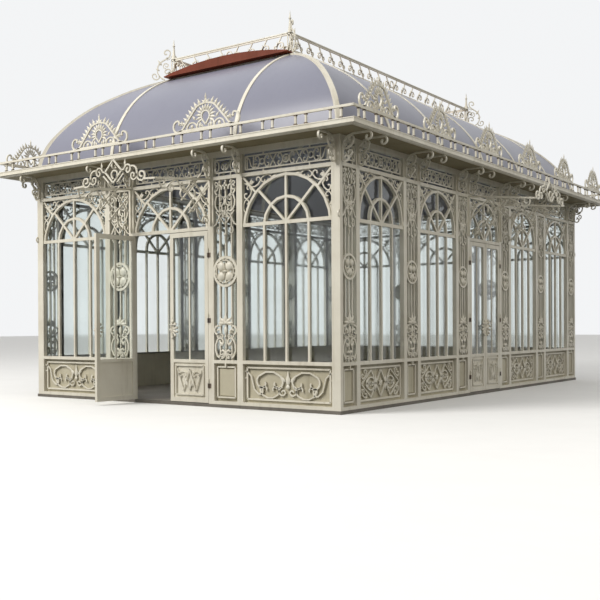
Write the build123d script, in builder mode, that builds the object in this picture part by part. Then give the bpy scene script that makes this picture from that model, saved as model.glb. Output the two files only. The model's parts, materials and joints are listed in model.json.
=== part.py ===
from build123d import *
from math import atan2, cos, degrees, floor, hypot, radians, sin, sqrt
import os

# Ornamental iron orangery with a curved glazed roof, all sizes in millimetres.
# The origin is the plan centre at ground level, the front faces -Y and the side door +X.

# Plan, worked out from the bays
FRONT_CORNER = 120
FRONT_WINDOW = 1330
FRONT_PANEL = 380
FRONT_DOOR = 1340
FRONT_POST = 90
SIDE_WINDOW = 1090
SIDE_PANEL = 300
SIDE_DOOR = 1090
SIDE_POST = 80
WALL_DEPTH = 60

# Rails, and the open heights between them, from the ground up
BASE_HEIGHT = 40
BOTTOM_RAIL = 40
LOWER_PANEL = 482
DADO_RAIL = 42
WINDOW_OPEN = 1670
TRANSOM_RAIL = 44
FAN_OPEN = 582
HEADER_RAIL = 45
FRIEZE_OPEN = 245
TOP_RAIL = 70
ARCH_BELOW_HEADER = 6
INNER_ARCH_RISE = 329

# Window bars and the bars of the narrow panels, drawn with few sides
BAR = 30
ARCH_BAR = 34
ARCH_SIDES = 24
INNER_ARCH_SIDES = 16
BAR_DEPTH = 34
BAR_SETBACK = 12
MULLIONS = 3
PANEL_BAR = 18
PANEL_BARS = 3
ROSETTE_ABOVE_DADO = 1126
ROSETTE_BAND = 22
ROSETTE_SIDES = 12

# Plinth, floor and the sheets on the inner face of the walls
PLINTH_PROJECTION = 10
PLINTH_INSIDE = 12
GLASS = 6
GLASS_JOINT = 2
GLASS_LAP = 20

# Door leaves
LEAF_THICKNESS = 44
LEAF_GAP = 6
LEAF_END_GAP = 8
LEAF_STILE = 58
LEAF_RAIL = 60
LEAF_BAR = 24
LEAF_BAR_DEPTH = 20
LEAF_SHEET = 8
FRONT_OPEN_ANGLE = 95

# Door hinges and handles
HINGE_RADIUS = 9
HINGE_SIDES = 12
HINGE_KNUCKLE = 60
HINGE_PLATE = 40
HINGE_PLATE_THICK = 4
HINGE_RUNNING_GAP = 0.4
HINGE_LOWEST = 300
HINGE_BELOW_TOP = 286
HINGES = 3
HANDLE_HEIGHT = 1060
HANDLE_PLATE = 34
HANDLE_PLATE_LENGTH = 210
HANDLE_PLATE_THICK = 6
HANDLE_STEM = 40
HANDLE_STEM_RADIUS = 8
HANDLE_STEM_SIDES = 8
HANDLE_LEVER = 115
HANDLE_LEVER_THICK = 14
ROSE_RADIUS = 50
ROSE_SIDES = 16
ROSE_THICK = 8

# Eaves
EAVE_FRONT = 380
EAVE_SIDE = 430
SOFFIT_THICK = 22
GUTTER_WIDTH = 60
GUTTER_HEIGHT = 78
GUTTER_CHAMFER = 22
RAIL_ABOVE_GUTTER = 149
RAIL_SECTION = 28
RAIL_SETBACK = 8
BALUSTER = 22
BALUSTER_PAIR = 135
BALUSTER_PITCH = 460

# Pierced crests that stand on the low rail
CREST_HALF = 520
CREST_HEIGHT = 425
CREST_THICK = 16
CREST_SCROLL = 76
CREST_BAND = 18
CREST_FLANK_PULL = 78
CREST_FLANK_STEPS = 4
CREST_LOW_HOLE = 47
CREST_LOW_HOLE_HEIGHT = 68
CREST_LOW_HOLE_PLACE = 155
CREST_MIDDLE_HOLE = 72
CREST_MIDDLE_HOLE_HEIGHT = 145

# Roof curve and ribs
ROOF_PLATE = 18
ROOF_RISE = 1450
FRONT_RUN = 1240
SIDE_RUN = 1575
LOW_HANDLE = 0.40
TOP_HANDLE_RUN = 0.60
TOP_HANDLE_DROP = 0.19
ROOF_ARCS = 3
RIB_WIDTH = 54
RIB_DEPTH = 60
RIB_TONGUE = 40
ROOF_SHEET = 12
ROOF_SHEET_SETBACK = 14
SIDE_ROOF_BAYS = 4

# Ridge platform, its shallow cap and the hoods on its ends
CURB_WIDTH = 60
CURB_HEIGHT = 100
CURB_ABOVE_ROOF = 30
CAP_RISE = 120
CAP_SHEET = 14
CAP_SEAT = 20
HOOD_DEPTH = 130
HOOD_RISE = 112
HOOD_EDGE = 14
HOOD_ABOVE_ROOF = 7
HOOD_OVERHANG = 30

# Ridge cresting and corner finials
CRESTING_ABOVE_CURB = 42
CRESTING_HEIGHT = 178
CRESTING_RAIL = 24
CRESTING_BAR = 14
CRESTING_THICK = 14
CRESTING_PITCH = 240
CRESTING_LEAN = 100
FINIAL_FOOT = 50
FINIAL_FOOT_HEIGHT = 120
FINIAL_RADIUS = 18
FINIAL_HEIGHT = 218
FINIAL_TIP = 3
FINIAL_SIDES = 8
FINIAL_BASE = 60

# Scroll wings on the hips, each place as (outward from the post, above the curb)
WING_BAR = 16
WING_CURVE = 154
WING_CURVE_SIDES = 24
WING_CURVE_AT = (76, 110)
WING_NECK_FROM = (0, 369)
WING_NECK_TO = (153, 243)
WING_CURL = 45
WING_CURL_SIDES = 8
WING_TOP_CURL = (77, 365)
WING_LOW_CURL = (252, -2)
WING_INNER_CURL = (80, 75)

# Porch brackets over both doors
PORCH_REACH = 1000
PORCH_UP_HEADER = 0.4
PORCH_DROP = 105
PORCH_BAR = 26
BRACKET_BAR = 16
BRACKET_CENTRE = 300
BRACKET_BELOW = 215
BRACKET_SIDE = 200
BRACKET_LENGTH = 520
PEDIMENT_RISE = 280
PEDIMENT_RING = 62
PEDIMENT_RINGS = 3
PEDIMENT_RING_LAP = 6

# Values that follow from the sizes above
WIDTH = 2 * (FRONT_CORNER + FRONT_WINDOW + FRONT_PANEL + 2 * FRONT_POST) + FRONT_DOOR
SIDE_HALF = 2 * SIDE_WINDOW + 3 * SIDE_PANEL + 5 * SIDE_POST
LENGTH = 2 * SIDE_HALF + SIDE_DOOR + 2 * WALL_DEPTH
HALF_WIDTH = WIDTH / 2
HALF_LENGTH = LENGTH / 2
DADO_LOW = BASE_HEIGHT + BOTTOM_RAIL + LOWER_PANEL
DADO_TOP = DADO_LOW + DADO_RAIL
TRANSOM_LOW = DADO_TOP + WINDOW_OPEN
SPRING = TRANSOM_LOW + TRANSOM_RAIL / 2
HEADER_LOW = TRANSOM_LOW + TRANSOM_RAIL + FAN_OPEN
TOP_RAIL_LOW = HEADER_LOW + HEADER_RAIL + FRIEZE_OPEN
WALL_TOP = TOP_RAIL_LOW + TOP_RAIL
ARCH_APEX = HEADER_LOW - ARCH_BELOW_HEADER
INNER_APEX = SPRING + INNER_ARCH_RISE
LEAF_BOTTOM = BASE_HEIGHT + LEAF_END_GAP
LEAF_TOP = TRANSOM_LOW - LEAF_END_GAP
HINGE_SPACING = (LEAF_TOP - HINGE_BELOW_TOP - HINGE_LOWEST) / (HINGES - 1)
SOFFIT_TOP = WALL_TOP + SOFFIT_THICK
GUTTER_TOP = WALL_TOP + GUTTER_HEIGHT
RAIL_TOP = GUTTER_TOP + RAIL_ABOVE_GUTTER
ROOF_SPRING = SOFFIT_TOP + ROOF_PLATE
ROOF_TOP = ROOF_SPRING + ROOF_RISE
RIDGE_HALF_WIDTH = HALF_WIDTH - SIDE_RUN
RIDGE_HALF_LENGTH = HALF_LENGTH - FRONT_RUN
CURB_TOP = ROOF_TOP + CURB_ABOVE_ROOF
CRESTING_LOW = CURB_TOP + CRESTING_ABOVE_CURB
CRESTING_HIGH = CRESTING_LOW + CRESTING_HEIGHT
PORCH_HEIGHT = HEADER_LOW + PORCH_UP_HEADER * HEADER_RAIL
SHEET_HALF_WIDTH = HALF_WIDTH - WALL_DEPTH
SHEET_HALF_LENGTH = HALF_LENGTH - WALL_DEPTH - GLASS

FRONT_FACE = Plane(origin=(0, -HALF_LENGTH, 0), x_dir=(1, 0, 0), z_dir=(0, -1, 0))
BACK_FACE = Plane(origin=(0, HALF_LENGTH, 0), x_dir=(-1, 0, 0), z_dir=(0, 1, 0))
RIGHT_FACE = Plane(origin=(HALF_WIDTH, 0, 0), x_dir=(0, 1, 0), z_dir=(1, 0, 0))
LEFT_FACE = Plane(origin=(-HALF_WIDTH, 0, 0), x_dir=(0, -1, 0), z_dir=(-1, 0, 0))

os.makedirs("parts", exist_ok=True)


def save(piece, name):
    piece.part.label = name
    export_step(piece.part, "parts/" + name + ".step")


def upright(x, width, low, high):
    # Vertical rectangle in the current sketch
    with Locations((x, (low + high) / 2)):
        Rectangle(width, high - low)


def level(left, right, low, high):
    # Horizontal rectangle in the current sketch
    with Locations(((left + right) / 2, (low + high) / 2)):
        Rectangle(right - left, high - low)


def slanted(x, y, length, width, angle):
    # Bar that starts at a point and leans by an angle from the vertical
    with Locations((x, y)):
        Rectangle(width, length, rotation=angle, align=(Align.CENTER, Align.MIN))


# Arched window: transom, mullions, two arches and three rays


def arch_ring(radius, apex, sides):
    # Ring of few sides with a corner at its top, cut at the transom
    with BuildSketch() as ring:
        with Locations((0, apex - radius)):
            RegularPolygon(radius, sides)
            RegularPolygon(radius - ARCH_BAR, sides, mode=Mode.SUBTRACT)
        with Locations((0, SPRING)):
            Rectangle(4 * radius, 4 * radius, align=(Align.CENTER, Align.MAX), mode=Mode.SUBTRACT)
    return ring.sketch


def ray_length(radius):
    # Way from the middle of the transom to the outer arch at 45 degrees
    rise = SPRING - (ARCH_APEX - radius)
    return sqrt(radius ** 2 - rise ** 2 / 2) - rise / sqrt(2) - ARCH_BAR / 2


def fan_bars(width):
    inner_radius = width / (MULLIONS + 1) + ARCH_BAR / 2
    outer_arch = arch_ring(width / 2, ARCH_APEX, ARCH_SIDES)
    inner_arch = arch_ring(inner_radius, INNER_APEX, INNER_ARCH_SIDES)
    with BuildSketch() as bars:
        add(outer_arch)
        add(inner_arch)
        level(-width / 2, width / 2, TRANSOM_LOW, TRANSOM_LOW + TRANSOM_RAIL)
        upright(0, BAR, SPRING, HEADER_LOW)
        for angle in (-45, 45):
            slanted(0, SPRING, ray_length(width / 2), BAR, angle)
    return bars.sketch


def window_bars(width):
    fan = fan_bars(width)
    spacing = width / (MULLIONS + 1)
    with BuildSketch() as bars:
        add(fan)
        for number in range(MULLIONS):
            x = (number + 1) * spacing - width / 2
            upright(x, BAR, DADO_TOP, TRANSOM_LOW)
    return bars.sketch


def panel_bars(width):
    # Three slim bars and a ring of few sides, two of them flat against the posts
    spacing = width / (PANEL_BARS + 1)
    turn = 180 / ROSETTE_SIDES
    with BuildSketch() as bars:
        with Locations((0, DADO_TOP + ROSETTE_ABOVE_DADO)):
            RegularPolygon(width / 2, ROSETTE_SIDES, major_radius=False, rotation=turn)
            RegularPolygon(
                width / 2 - ROSETTE_BAND,
                ROSETTE_SIDES,
                major_radius=False,
                rotation=turn,
                mode=Mode.SUBTRACT,
            )
        for number in range(PANEL_BARS):
            x = (number + 1) * spacing - width / 2
            upright(x, PANEL_BAR, DADO_TOP, HEADER_LOW)
    return bars.sketch


BAY_BARS = {
    "front window": window_bars(FRONT_WINDOW),
    "front panel": panel_bars(FRONT_PANEL),
    "front door": fan_bars(FRONT_DOOR),
    "back middle": window_bars(FRONT_DOOR),
    "side window": window_bars(SIDE_WINDOW),
    "side panel": panel_bars(SIDE_PANEL),
    "side door": fan_bars(SIDE_DOOR),
    "side middle": window_bars(SIDE_DOOR),
}
BAY_WIDTH = {
    "front window": FRONT_WINDOW,
    "front panel": FRONT_PANEL,
    "front door": FRONT_DOOR,
    "back middle": FRONT_DOOR,
    "side window": SIDE_WINDOW,
    "side panel": SIDE_PANEL,
    "side door": SIDE_DOOR,
    "side middle": SIDE_DOOR,
}


# Walls: full-depth posts and rails, with slimmer bars set back between them

def lay_out(left, first_post, bays, post, last_post):
    # Walks along a wall and returns its posts and bays as (centre, width) and (centre, kind)
    posts = []
    places = []
    x = left
    widths = [post] * (len(bays) - 1) + [last_post]
    if first_post:
        posts.append((x + first_post / 2, first_post))
        x += first_post
    for kind, post_width in zip(bays, widths):
        places.append((x + BAY_WIDTH[kind] / 2, kind))
        x += BAY_WIDTH[kind]
        if post_width:
            posts.append((x + post_width / 2, post_width))
            x += post_width
    return posts, places, x


def wall_frame(face, left, first_post, bays, post, last_post):
    posts, places, right = lay_out(left, first_post, bays, post, last_post)
    with BuildPart() as frame:
        with BuildSketch(face):
            for centre, width in posts:
                upright(centre, width, BASE_HEIGHT, WALL_TOP)
            level(left, right, BASE_HEIGHT, BASE_HEIGHT + BOTTOM_RAIL)
            level(left, right, DADO_LOW, DADO_TOP)
            level(left, right, HEADER_LOW, HEADER_LOW + HEADER_RAIL)
            level(left, right, TOP_RAIL_LOW, WALL_TOP)
        extrude(amount=-WALL_DEPTH)
        with BuildSketch(face.offset(-BAR_SETBACK)):
            for centre, kind in places:
                with Locations((centre, 0)):
                    add(BAY_BARS[kind])
        extrude(amount=-BAR_DEPTH)
    return frame


def over_door(face, kind):
    half = BAY_WIDTH[kind] / 2
    with BuildPart() as frame:
        with BuildSketch(face):
            level(-half, half, TRANSOM_LOW, TRANSOM_LOW + TRANSOM_RAIL)
            level(-half, half, HEADER_LOW, HEADER_LOW + HEADER_RAIL)
            level(-half, half, TOP_RAIL_LOW, WALL_TOP)
        extrude(amount=-WALL_DEPTH)
        with BuildSketch(face.offset(-BAR_SETBACK)):
            add(BAY_BARS[kind])
        extrude(amount=-BAR_DEPTH)
    return frame


FRONT_LEFT_BAYS = ["front window", "front panel"]
FRONT_RIGHT_BAYS = ["front panel", "front window"]
BACK_BAYS = FRONT_LEFT_BAYS + ["back middle"] + FRONT_RIGHT_BAYS
SIDE_HALF_BAYS = ["side panel", "side window", "side panel", "side window", "side panel"]
LEFT_BAYS = SIDE_HALF_BAYS + ["side middle"] + SIDE_HALF_BAYS

front_wall_left = wall_frame(
    FRONT_FACE, -HALF_WIDTH, FRONT_CORNER, FRONT_LEFT_BAYS, FRONT_POST, FRONT_POST
)
save(front_wall_left, "front_wall_left")

front_wall_right = wall_frame(
    FRONT_FACE, FRONT_DOOR / 2, FRONT_POST, FRONT_RIGHT_BAYS, FRONT_POST, FRONT_CORNER
)
save(front_wall_right, "front_wall_right")

front_over_door = over_door(FRONT_FACE, "front door")
save(front_over_door, "front_over_door")

right_wall_near = wall_frame(
    RIGHT_FACE, WALL_DEPTH - HALF_LENGTH, 0, SIDE_HALF_BAYS, SIDE_POST, SIDE_POST
)
save(right_wall_near, "right_wall_near")

right_wall_far = wall_frame(
    RIGHT_FACE, SIDE_DOOR / 2, SIDE_POST, SIDE_HALF_BAYS, SIDE_POST, 0
)
save(right_wall_far, "right_wall_far")

right_over_door = over_door(RIGHT_FACE, "side door")
save(right_over_door, "right_over_door")

back_wall = wall_frame(
    BACK_FACE, -HALF_WIDTH, FRONT_CORNER, BACK_BAYS, FRONT_POST, FRONT_CORNER
)
save(back_wall, "back_wall")

left_wall = wall_frame(
    LEFT_FACE, WALL_DEPTH - HALF_LENGTH, 0, LEFT_BAYS, SIDE_POST, 0
)
save(left_wall, "left_wall")


# Base ring under the walls and the floor inside it

with BuildPart() as base_frame:
    with BuildSketch():
        Rectangle(WIDTH + 2 * PLINTH_PROJECTION, LENGTH + 2 * PLINTH_PROJECTION)
        Rectangle(
            WIDTH - 2 * (WALL_DEPTH + PLINTH_INSIDE),
            LENGTH - 2 * (WALL_DEPTH + PLINTH_INSIDE),
            mode=Mode.SUBTRACT,
        )
    extrude(amount=BASE_HEIGHT)
save(base_frame, "base_frame")

with BuildPart() as floor_slab:
    with BuildSketch():
        Rectangle(
            WIDTH - 2 * (WALL_DEPTH + PLINTH_INSIDE),
            LENGTH - 2 * (WALL_DEPTH + PLINTH_INSIDE),
        )
    extrude(amount=BASE_HEIGHT)
save(floor_slab, "floor_slab")


# Glass and lower panels, as sheets against the inner face of the posts

def wall_sheets(face, spans):
    # Each span is (left, right, low, high) on the wall
    with BuildPart() as sheets:
        with BuildSketch(face.offset(-WALL_DEPTH)):
            for left, right, low, high in spans:
                level(left, right, low, high)
        extrude(amount=-GLASS)
    return sheets


GLASS_LOW = DADO_LOW + GLASS_LAP
GLASS_HIGH = TOP_RAIL_LOW + GLASS_LAP
OVER_DOOR_LOW = TRANSOM_LOW + GLASS_LAP
FRONT_JOINT = (FRONT_DOOR + FRONT_POST) / 2
SIDE_JOINT = (SIDE_DOOR + SIDE_POST) / 2


def door_wall_glass(face, half, joint):
    return wall_sheets(face, [
        (-half, -joint - GLASS_JOINT / 2, GLASS_LOW, GLASS_HIGH),
        (joint + GLASS_JOINT / 2, half, GLASS_LOW, GLASS_HIGH),
        (-joint + GLASS_JOINT / 2, joint - GLASS_JOINT / 2, OVER_DOOR_LOW, GLASS_HIGH),
    ])


def door_wall_panels(face, half, joint):
    return wall_sheets(face, [
        (-half, -joint, BASE_HEIGHT, GLASS_LOW),
        (joint, half, BASE_HEIGHT, GLASS_LOW),
    ])


front_glass = door_wall_glass(FRONT_FACE, SHEET_HALF_WIDTH, FRONT_JOINT)
save(front_glass, "front_glass")

right_glass = door_wall_glass(RIGHT_FACE, SHEET_HALF_LENGTH, SIDE_JOINT)
save(right_glass, "right_glass")

back_glass = wall_sheets(
    BACK_FACE, [(-SHEET_HALF_WIDTH, SHEET_HALF_WIDTH, GLASS_LOW, GLASS_HIGH)]
)
save(back_glass, "back_glass")

left_glass = wall_sheets(
    LEFT_FACE, [(-SHEET_HALF_LENGTH, SHEET_HALF_LENGTH, GLASS_LOW, GLASS_HIGH)]
)
save(left_glass, "left_glass")

front_panels = door_wall_panels(FRONT_FACE, SHEET_HALF_WIDTH, FRONT_JOINT)
save(front_panels, "front_panels")

right_panels = door_wall_panels(RIGHT_FACE, SHEET_HALF_LENGTH, SIDE_JOINT)
save(right_panels, "right_panels")

back_panels = wall_sheets(
    BACK_FACE, [(-SHEET_HALF_WIDTH, SHEET_HALF_WIDTH, BASE_HEIGHT, GLASS_LOW)]
)
save(back_panels, "back_panels")

left_panels = wall_sheets(
    LEFT_FACE, [(-SHEET_HALF_LENGTH, SHEET_HALF_LENGTH, BASE_HEIGHT, GLASS_LOW)]
)
save(left_panels, "left_panels")


# Door leaves, drawn in a frame on the hinge axis with x along the leaf

def leaf_plane(axis, closed_angle, swing):
    # Plane on the hinge axis: x runs from the hinge to the free edge
    turn = radians(closed_angle + swing)
    return Plane(
        origin=(axis[0], axis[1], 0),
        x_dir=(cos(turn), sin(turn), 0),
        z_dir=(sin(turn), -cos(turn), 0),
    )


def leaf_width(door):
    return (door - 3 * LEAF_GAP) / 2


def hinge_heights():
    return [HINGE_LOWEST + number * HINGE_SPACING for number in range(HINGES)]


def door_leaf(plane, outward, door, lever):
    # The leaf lies on the inner side of the axis; outward is the side of the knuckles
    near = LEAF_GAP
    far = LEAF_GAP + leaf_width(door)
    face = plane.offset(-outward * HINGE_RADIUS)
    middle = face.offset(-outward * (LEAF_THICKNESS - LEAF_BAR_DEPTH) / 2)
    sheet = face.offset(-outward * (LEAF_THICKNESS - LEAF_SHEET) / 2)
    handle_x = far - LEAF_STILE / 2
    with BuildPart() as leaf:
        with BuildSketch(face):
            upright(near + LEAF_STILE / 2, LEAF_STILE, LEAF_BOTTOM, LEAF_TOP)
            upright(far - LEAF_STILE / 2, LEAF_STILE, LEAF_BOTTOM, LEAF_TOP)
            level(near, far, LEAF_BOTTOM, LEAF_BOTTOM + LEAF_RAIL)
            level(near, far, DADO_LOW, DADO_TOP)
            level(near, far, LEAF_TOP - LEAF_RAIL, LEAF_TOP)
        extrude(amount=-outward * LEAF_THICKNESS)
        with BuildSketch(middle):
            upright((near + far) / 2, LEAF_BAR, DADO_TOP, LEAF_TOP - LEAF_RAIL)
        extrude(amount=-outward * LEAF_BAR_DEPTH)
        with BuildSketch(sheet):
            level(near + LEAF_STILE, far - LEAF_STILE, LEAF_BOTTOM + LEAF_RAIL, DADO_LOW)
        extrude(amount=-outward * LEAF_SHEET)
        for height in hinge_heights():
            low = height + HINGE_RUNNING_GAP / 2
            with BuildSketch(face):
                level(0, HINGE_PLATE, low, low + HINGE_KNUCKLE)
            extrude(amount=outward * HINGE_PLATE_THICK)
            with BuildSketch(Plane(origin=plane.origin + Vector(0, 0, low))):
                RegularPolygon(HINGE_RADIUS, HINGE_SIDES)
            extrude(amount=HINGE_KNUCKLE)
        if lever:
            with BuildSketch(face):
                with Locations((handle_x, HANDLE_HEIGHT)):
                    Rectangle(HANDLE_PLATE, HANDLE_PLATE_LENGTH)
            extrude(amount=outward * HANDLE_PLATE_THICK)
        else:
            with BuildSketch(face):
                with Locations((handle_x - ROSE_RADIUS / 2, HANDLE_HEIGHT)):
                    RegularPolygon(ROSE_RADIUS, ROSE_SIDES)
            extrude(amount=outward * ROSE_THICK)
        with BuildSketch(face):
            with Locations((handle_x, HANDLE_HEIGHT)):
                RegularPolygon(HANDLE_STEM_RADIUS, HANDLE_STEM_SIDES)
        extrude(amount=outward * HANDLE_STEM)
        with BuildSketch(face.offset(outward * (HANDLE_STEM - HANDLE_LEVER_THICK))):
            with Locations((handle_x - HANDLE_LEVER / 2 + HANDLE_STEM_RADIUS, HANDLE_HEIGHT)):
                Rectangle(HANDLE_LEVER, HANDLE_LEVER_THICK)
        extrude(amount=outward * HANDLE_LEVER_THICK)
    return leaf


def leaf_glass(plane, outward, door):
    # Two panes between the stiles, either side of the middle bar
    near = LEAF_GAP + LEAF_STILE
    far = LEAF_GAP + leaf_width(door) - LEAF_STILE
    middle = (near + far) / 2
    face = plane.offset(-outward * (HINGE_RADIUS + (LEAF_THICKNESS - GLASS) / 2))
    with BuildPart() as panes:
        with BuildSketch(face):
            level(near, middle - LEAF_BAR / 2, DADO_TOP, LEAF_TOP - LEAF_RAIL)
            level(middle + LEAF_BAR / 2, far, DADO_TOP, LEAF_TOP - LEAF_RAIL)
        extrude(amount=-outward * GLASS)
    return panes


FRONT_AXIS_Y = -HALF_LENGTH - HINGE_RADIUS
SIDE_AXIS_X = HALF_WIDTH + HINGE_RADIUS
FRONT_LEFT_AXIS = (-FRONT_DOOR / 2, FRONT_AXIS_Y)
FRONT_RIGHT_AXIS = (FRONT_DOOR / 2, FRONT_AXIS_Y)
SIDE_NEAR_AXIS = (SIDE_AXIS_X, -SIDE_DOOR / 2)
SIDE_FAR_AXIS = (SIDE_AXIS_X, SIDE_DOOR / 2)

LEAVES = {
    "front_door_left": (leaf_plane(FRONT_LEFT_AXIS, 0, -FRONT_OPEN_ANGLE), 1, FRONT_DOOR, True),
    "front_door_right": (leaf_plane(FRONT_RIGHT_AXIS, 180, 0), -1, FRONT_DOOR, True),
    "side_door_near": (leaf_plane(SIDE_NEAR_AXIS, 90, 0), 1, SIDE_DOOR, False),
    "side_door_far": (leaf_plane(SIDE_FAR_AXIS, -90, 0), -1, SIDE_DOOR, False),
}

for leaf_name, (leaf_frame, outward_side, door_size, has_lever) in LEAVES.items():
    save(door_leaf(leaf_frame, outward_side, door_size, has_lever), leaf_name)
    save(leaf_glass(leaf_frame, outward_side, door_size), leaf_name + "_glass")


# Lower halves of the hinges, fixed to the door posts

with BuildPart() as door_hinges:
    for face, half, axis_pair in (
        (FRONT_FACE, FRONT_DOOR / 2, (FRONT_LEFT_AXIS, FRONT_RIGHT_AXIS)),
        (RIGHT_FACE, SIDE_DOOR / 2, (SIDE_NEAR_AXIS, SIDE_FAR_AXIS)),
    ):
        for side, axis in zip((-1, 1), axis_pair):
            for height in hinge_heights():
                high = height - HINGE_RUNNING_GAP / 2
                low = high - HINGE_KNUCKLE
                inner = side * half
                outer = side * (half + HINGE_PLATE)
                with BuildSketch(face):
                    level(min(inner, outer), max(inner, outer), low, high)
                extrude(amount=HINGE_PLATE_THICK)
                with BuildSketch(Plane(origin=(axis[0], axis[1], low))):
                    RegularPolygon(HINGE_RADIUS, HINGE_SIDES)
                extrude(amount=HINGE_KNUCKLE)
save(door_hinges, "door_hinges")


# Eaves: boarded soffit, gutter, low rail on paired balusters

def ring_sketch(half_x, half_y, width):
    Rectangle(2 * half_x, 2 * half_y)
    Rectangle(2 * (half_x - width), 2 * (half_y - width), mode=Mode.SUBTRACT)


EAVE_HALF_X = HALF_WIDTH + EAVE_SIDE
EAVE_HALF_Y = HALF_LENGTH + EAVE_FRONT

with BuildPart() as soffit:
    with BuildSketch(Plane.XY.offset(WALL_TOP)):
        Rectangle(2 * (EAVE_HALF_X - GUTTER_WIDTH), 2 * (EAVE_HALF_Y - GUTTER_WIDTH))
        Rectangle(WIDTH - 2 * WALL_DEPTH, LENGTH - 2 * WALL_DEPTH, mode=Mode.SUBTRACT)
    extrude(amount=SOFFIT_THICK)
save(soffit, "soffit")

with BuildPart() as gutter:
    with BuildSketch(Plane.XY.offset(WALL_TOP)):
        ring_sketch(EAVE_HALF_X, EAVE_HALF_Y, GUTTER_WIDTH)
    extrude(amount=GUTTER_HEIGHT)
    bottom_edges = gutter.faces().sort_by(Axis.Z)[0].outer_wire().edges()
    chamfer(bottom_edges, GUTTER_CHAMFER)
save(gutter, "gutter")

RAIL_HALF_X = EAVE_HALF_X - RAIL_SETBACK
RAIL_HALF_Y = EAVE_HALF_Y - RAIL_SETBACK
RAIL_LINE_X = RAIL_HALF_X - RAIL_SECTION / 2
RAIL_LINE_Y = RAIL_HALF_Y - RAIL_SECTION / 2


def pair_places(half):
    # Centres of the baluster pairs along an edge, evenly about its middle
    count = floor((half - BALUSTER_PAIR) / BALUSTER_PITCH + 0.5)
    centres = [(number + 0.5) * BALUSTER_PITCH for number in range(count)]
    return [sign * centre for centre in centres for sign in (-1, 1)]


with BuildPart() as low_rail:
    with BuildSketch(Plane.XY.offset(RAIL_TOP - RAIL_SECTION)):
        ring_sketch(RAIL_HALF_X, RAIL_HALF_Y, RAIL_SECTION)
    extrude(amount=RAIL_SECTION)
    with BuildSketch(Plane.XY.offset(GUTTER_TOP)):
        for sign in (-1, 1):
            for centre in pair_places(RAIL_LINE_X):
                with Locations((centre - BALUSTER_PAIR / 2, sign * RAIL_LINE_Y)):
                    Rectangle(BALUSTER, BALUSTER)
                with Locations((centre + BALUSTER_PAIR / 2, sign * RAIL_LINE_Y)):
                    Rectangle(BALUSTER, BALUSTER)
            for centre in pair_places(RAIL_LINE_Y):
                with Locations((sign * RAIL_LINE_X, centre - BALUSTER_PAIR / 2)):
                    Rectangle(BALUSTER, BALUSTER)
                with Locations((sign * RAIL_LINE_X, centre + BALUSTER_PAIR / 2)):
                    Rectangle(BALUSTER, BALUSTER)
        with GridLocations(2 * RAIL_LINE_X, 2 * RAIL_LINE_Y, 2, 2):
            Rectangle(RAIL_SECTION, RAIL_SECTION)
    extrude(amount=RAIL_TOP - RAIL_SECTION - GUTTER_TOP)
save(low_rail, "low_rail")


# Pierced triangular crests above the narrow panels

def crest_outline():
    # Hollow flanks in a few straight steps, pulled in from the straight line
    shoulder = CREST_HALF - 2 * CREST_SCROLL
    flank = []
    for step in range(CREST_FLANK_STEPS + 1):
        share = step / CREST_FLANK_STEPS
        sag = 4 * CREST_FLANK_PULL * share * (1 - share)
        flank.append((shoulder * (1 - share), CREST_HEIGHT * share - sag))
    with BuildSketch() as crest:
        with BuildLine():
            Polyline(*flank)
            Polyline(*[(-x, y) for x, y in flank])
            Line(flank[0], (-flank[0][0], flank[0][1]))
        make_face()
        for sign in (-1, 1):
            with Locations((sign * (CREST_HALF - CREST_SCROLL), CREST_SCROLL)):
                RegularPolygon(CREST_SCROLL, 8)
            level(
                min(0, sign * (CREST_HALF - CREST_SCROLL)),
                max(0, sign * (CREST_HALF - CREST_SCROLL)),
                0,
                CREST_BAND,
            )
        for sign in (-1, 1):
            with Locations((sign * (CREST_HALF - CREST_SCROLL), CREST_SCROLL)):
                RegularPolygon(CREST_SCROLL - CREST_BAND, 8, mode=Mode.SUBTRACT)
            with Locations((sign * CREST_LOW_HOLE_PLACE, CREST_LOW_HOLE_HEIGHT)):
                RegularPolygon(CREST_LOW_HOLE, 6, mode=Mode.SUBTRACT)
        with Locations((0, CREST_MIDDLE_HOLE_HEIGHT)):
            RegularPolygon(CREST_MIDDLE_HOLE, 6, mode=Mode.SUBTRACT)
    return crest.sketch


CREST = crest_outline()
FRONT_CREST_X = FRONT_DOOR / 2 + FRONT_POST + FRONT_PANEL / 2
SIDE_PITCH = SIDE_WINDOW + SIDE_PANEL + 2 * SIDE_POST
SIDE_CREST_FIRST = (SIDE_DOOR + SIDE_PANEL) / 2 + SIDE_POST
CREST_PLACES = {
    FRONT_FACE: [-FRONT_CREST_X, FRONT_CREST_X],
    BACK_FACE: [-FRONT_CREST_X, FRONT_CREST_X],
    RIGHT_FACE: [side * (SIDE_CREST_FIRST + n * SIDE_PITCH) for side in (-1, 1) for n in range(3)],
    LEFT_FACE: [side * (SIDE_CREST_FIRST + n * SIDE_PITCH) for side in (-1, 1) for n in range(3)],
}

with BuildPart() as eave_crests:
    for face, places in CREST_PLACES.items():
        reach = EAVE_FRONT if face in (FRONT_FACE, BACK_FACE) else EAVE_SIDE
        line = face.offset(reach - RAIL_SETBACK - RAIL_SECTION / 2 - CREST_THICK / 2)
        with BuildSketch(line):
            for place in places:
                with Locations((place, RAIL_TOP)):
                    add(CREST)
        extrude(amount=CREST_THICK)
save(eave_crests, "eave_crests")


# Curved roof: one curve, scaled to the run of each side

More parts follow.
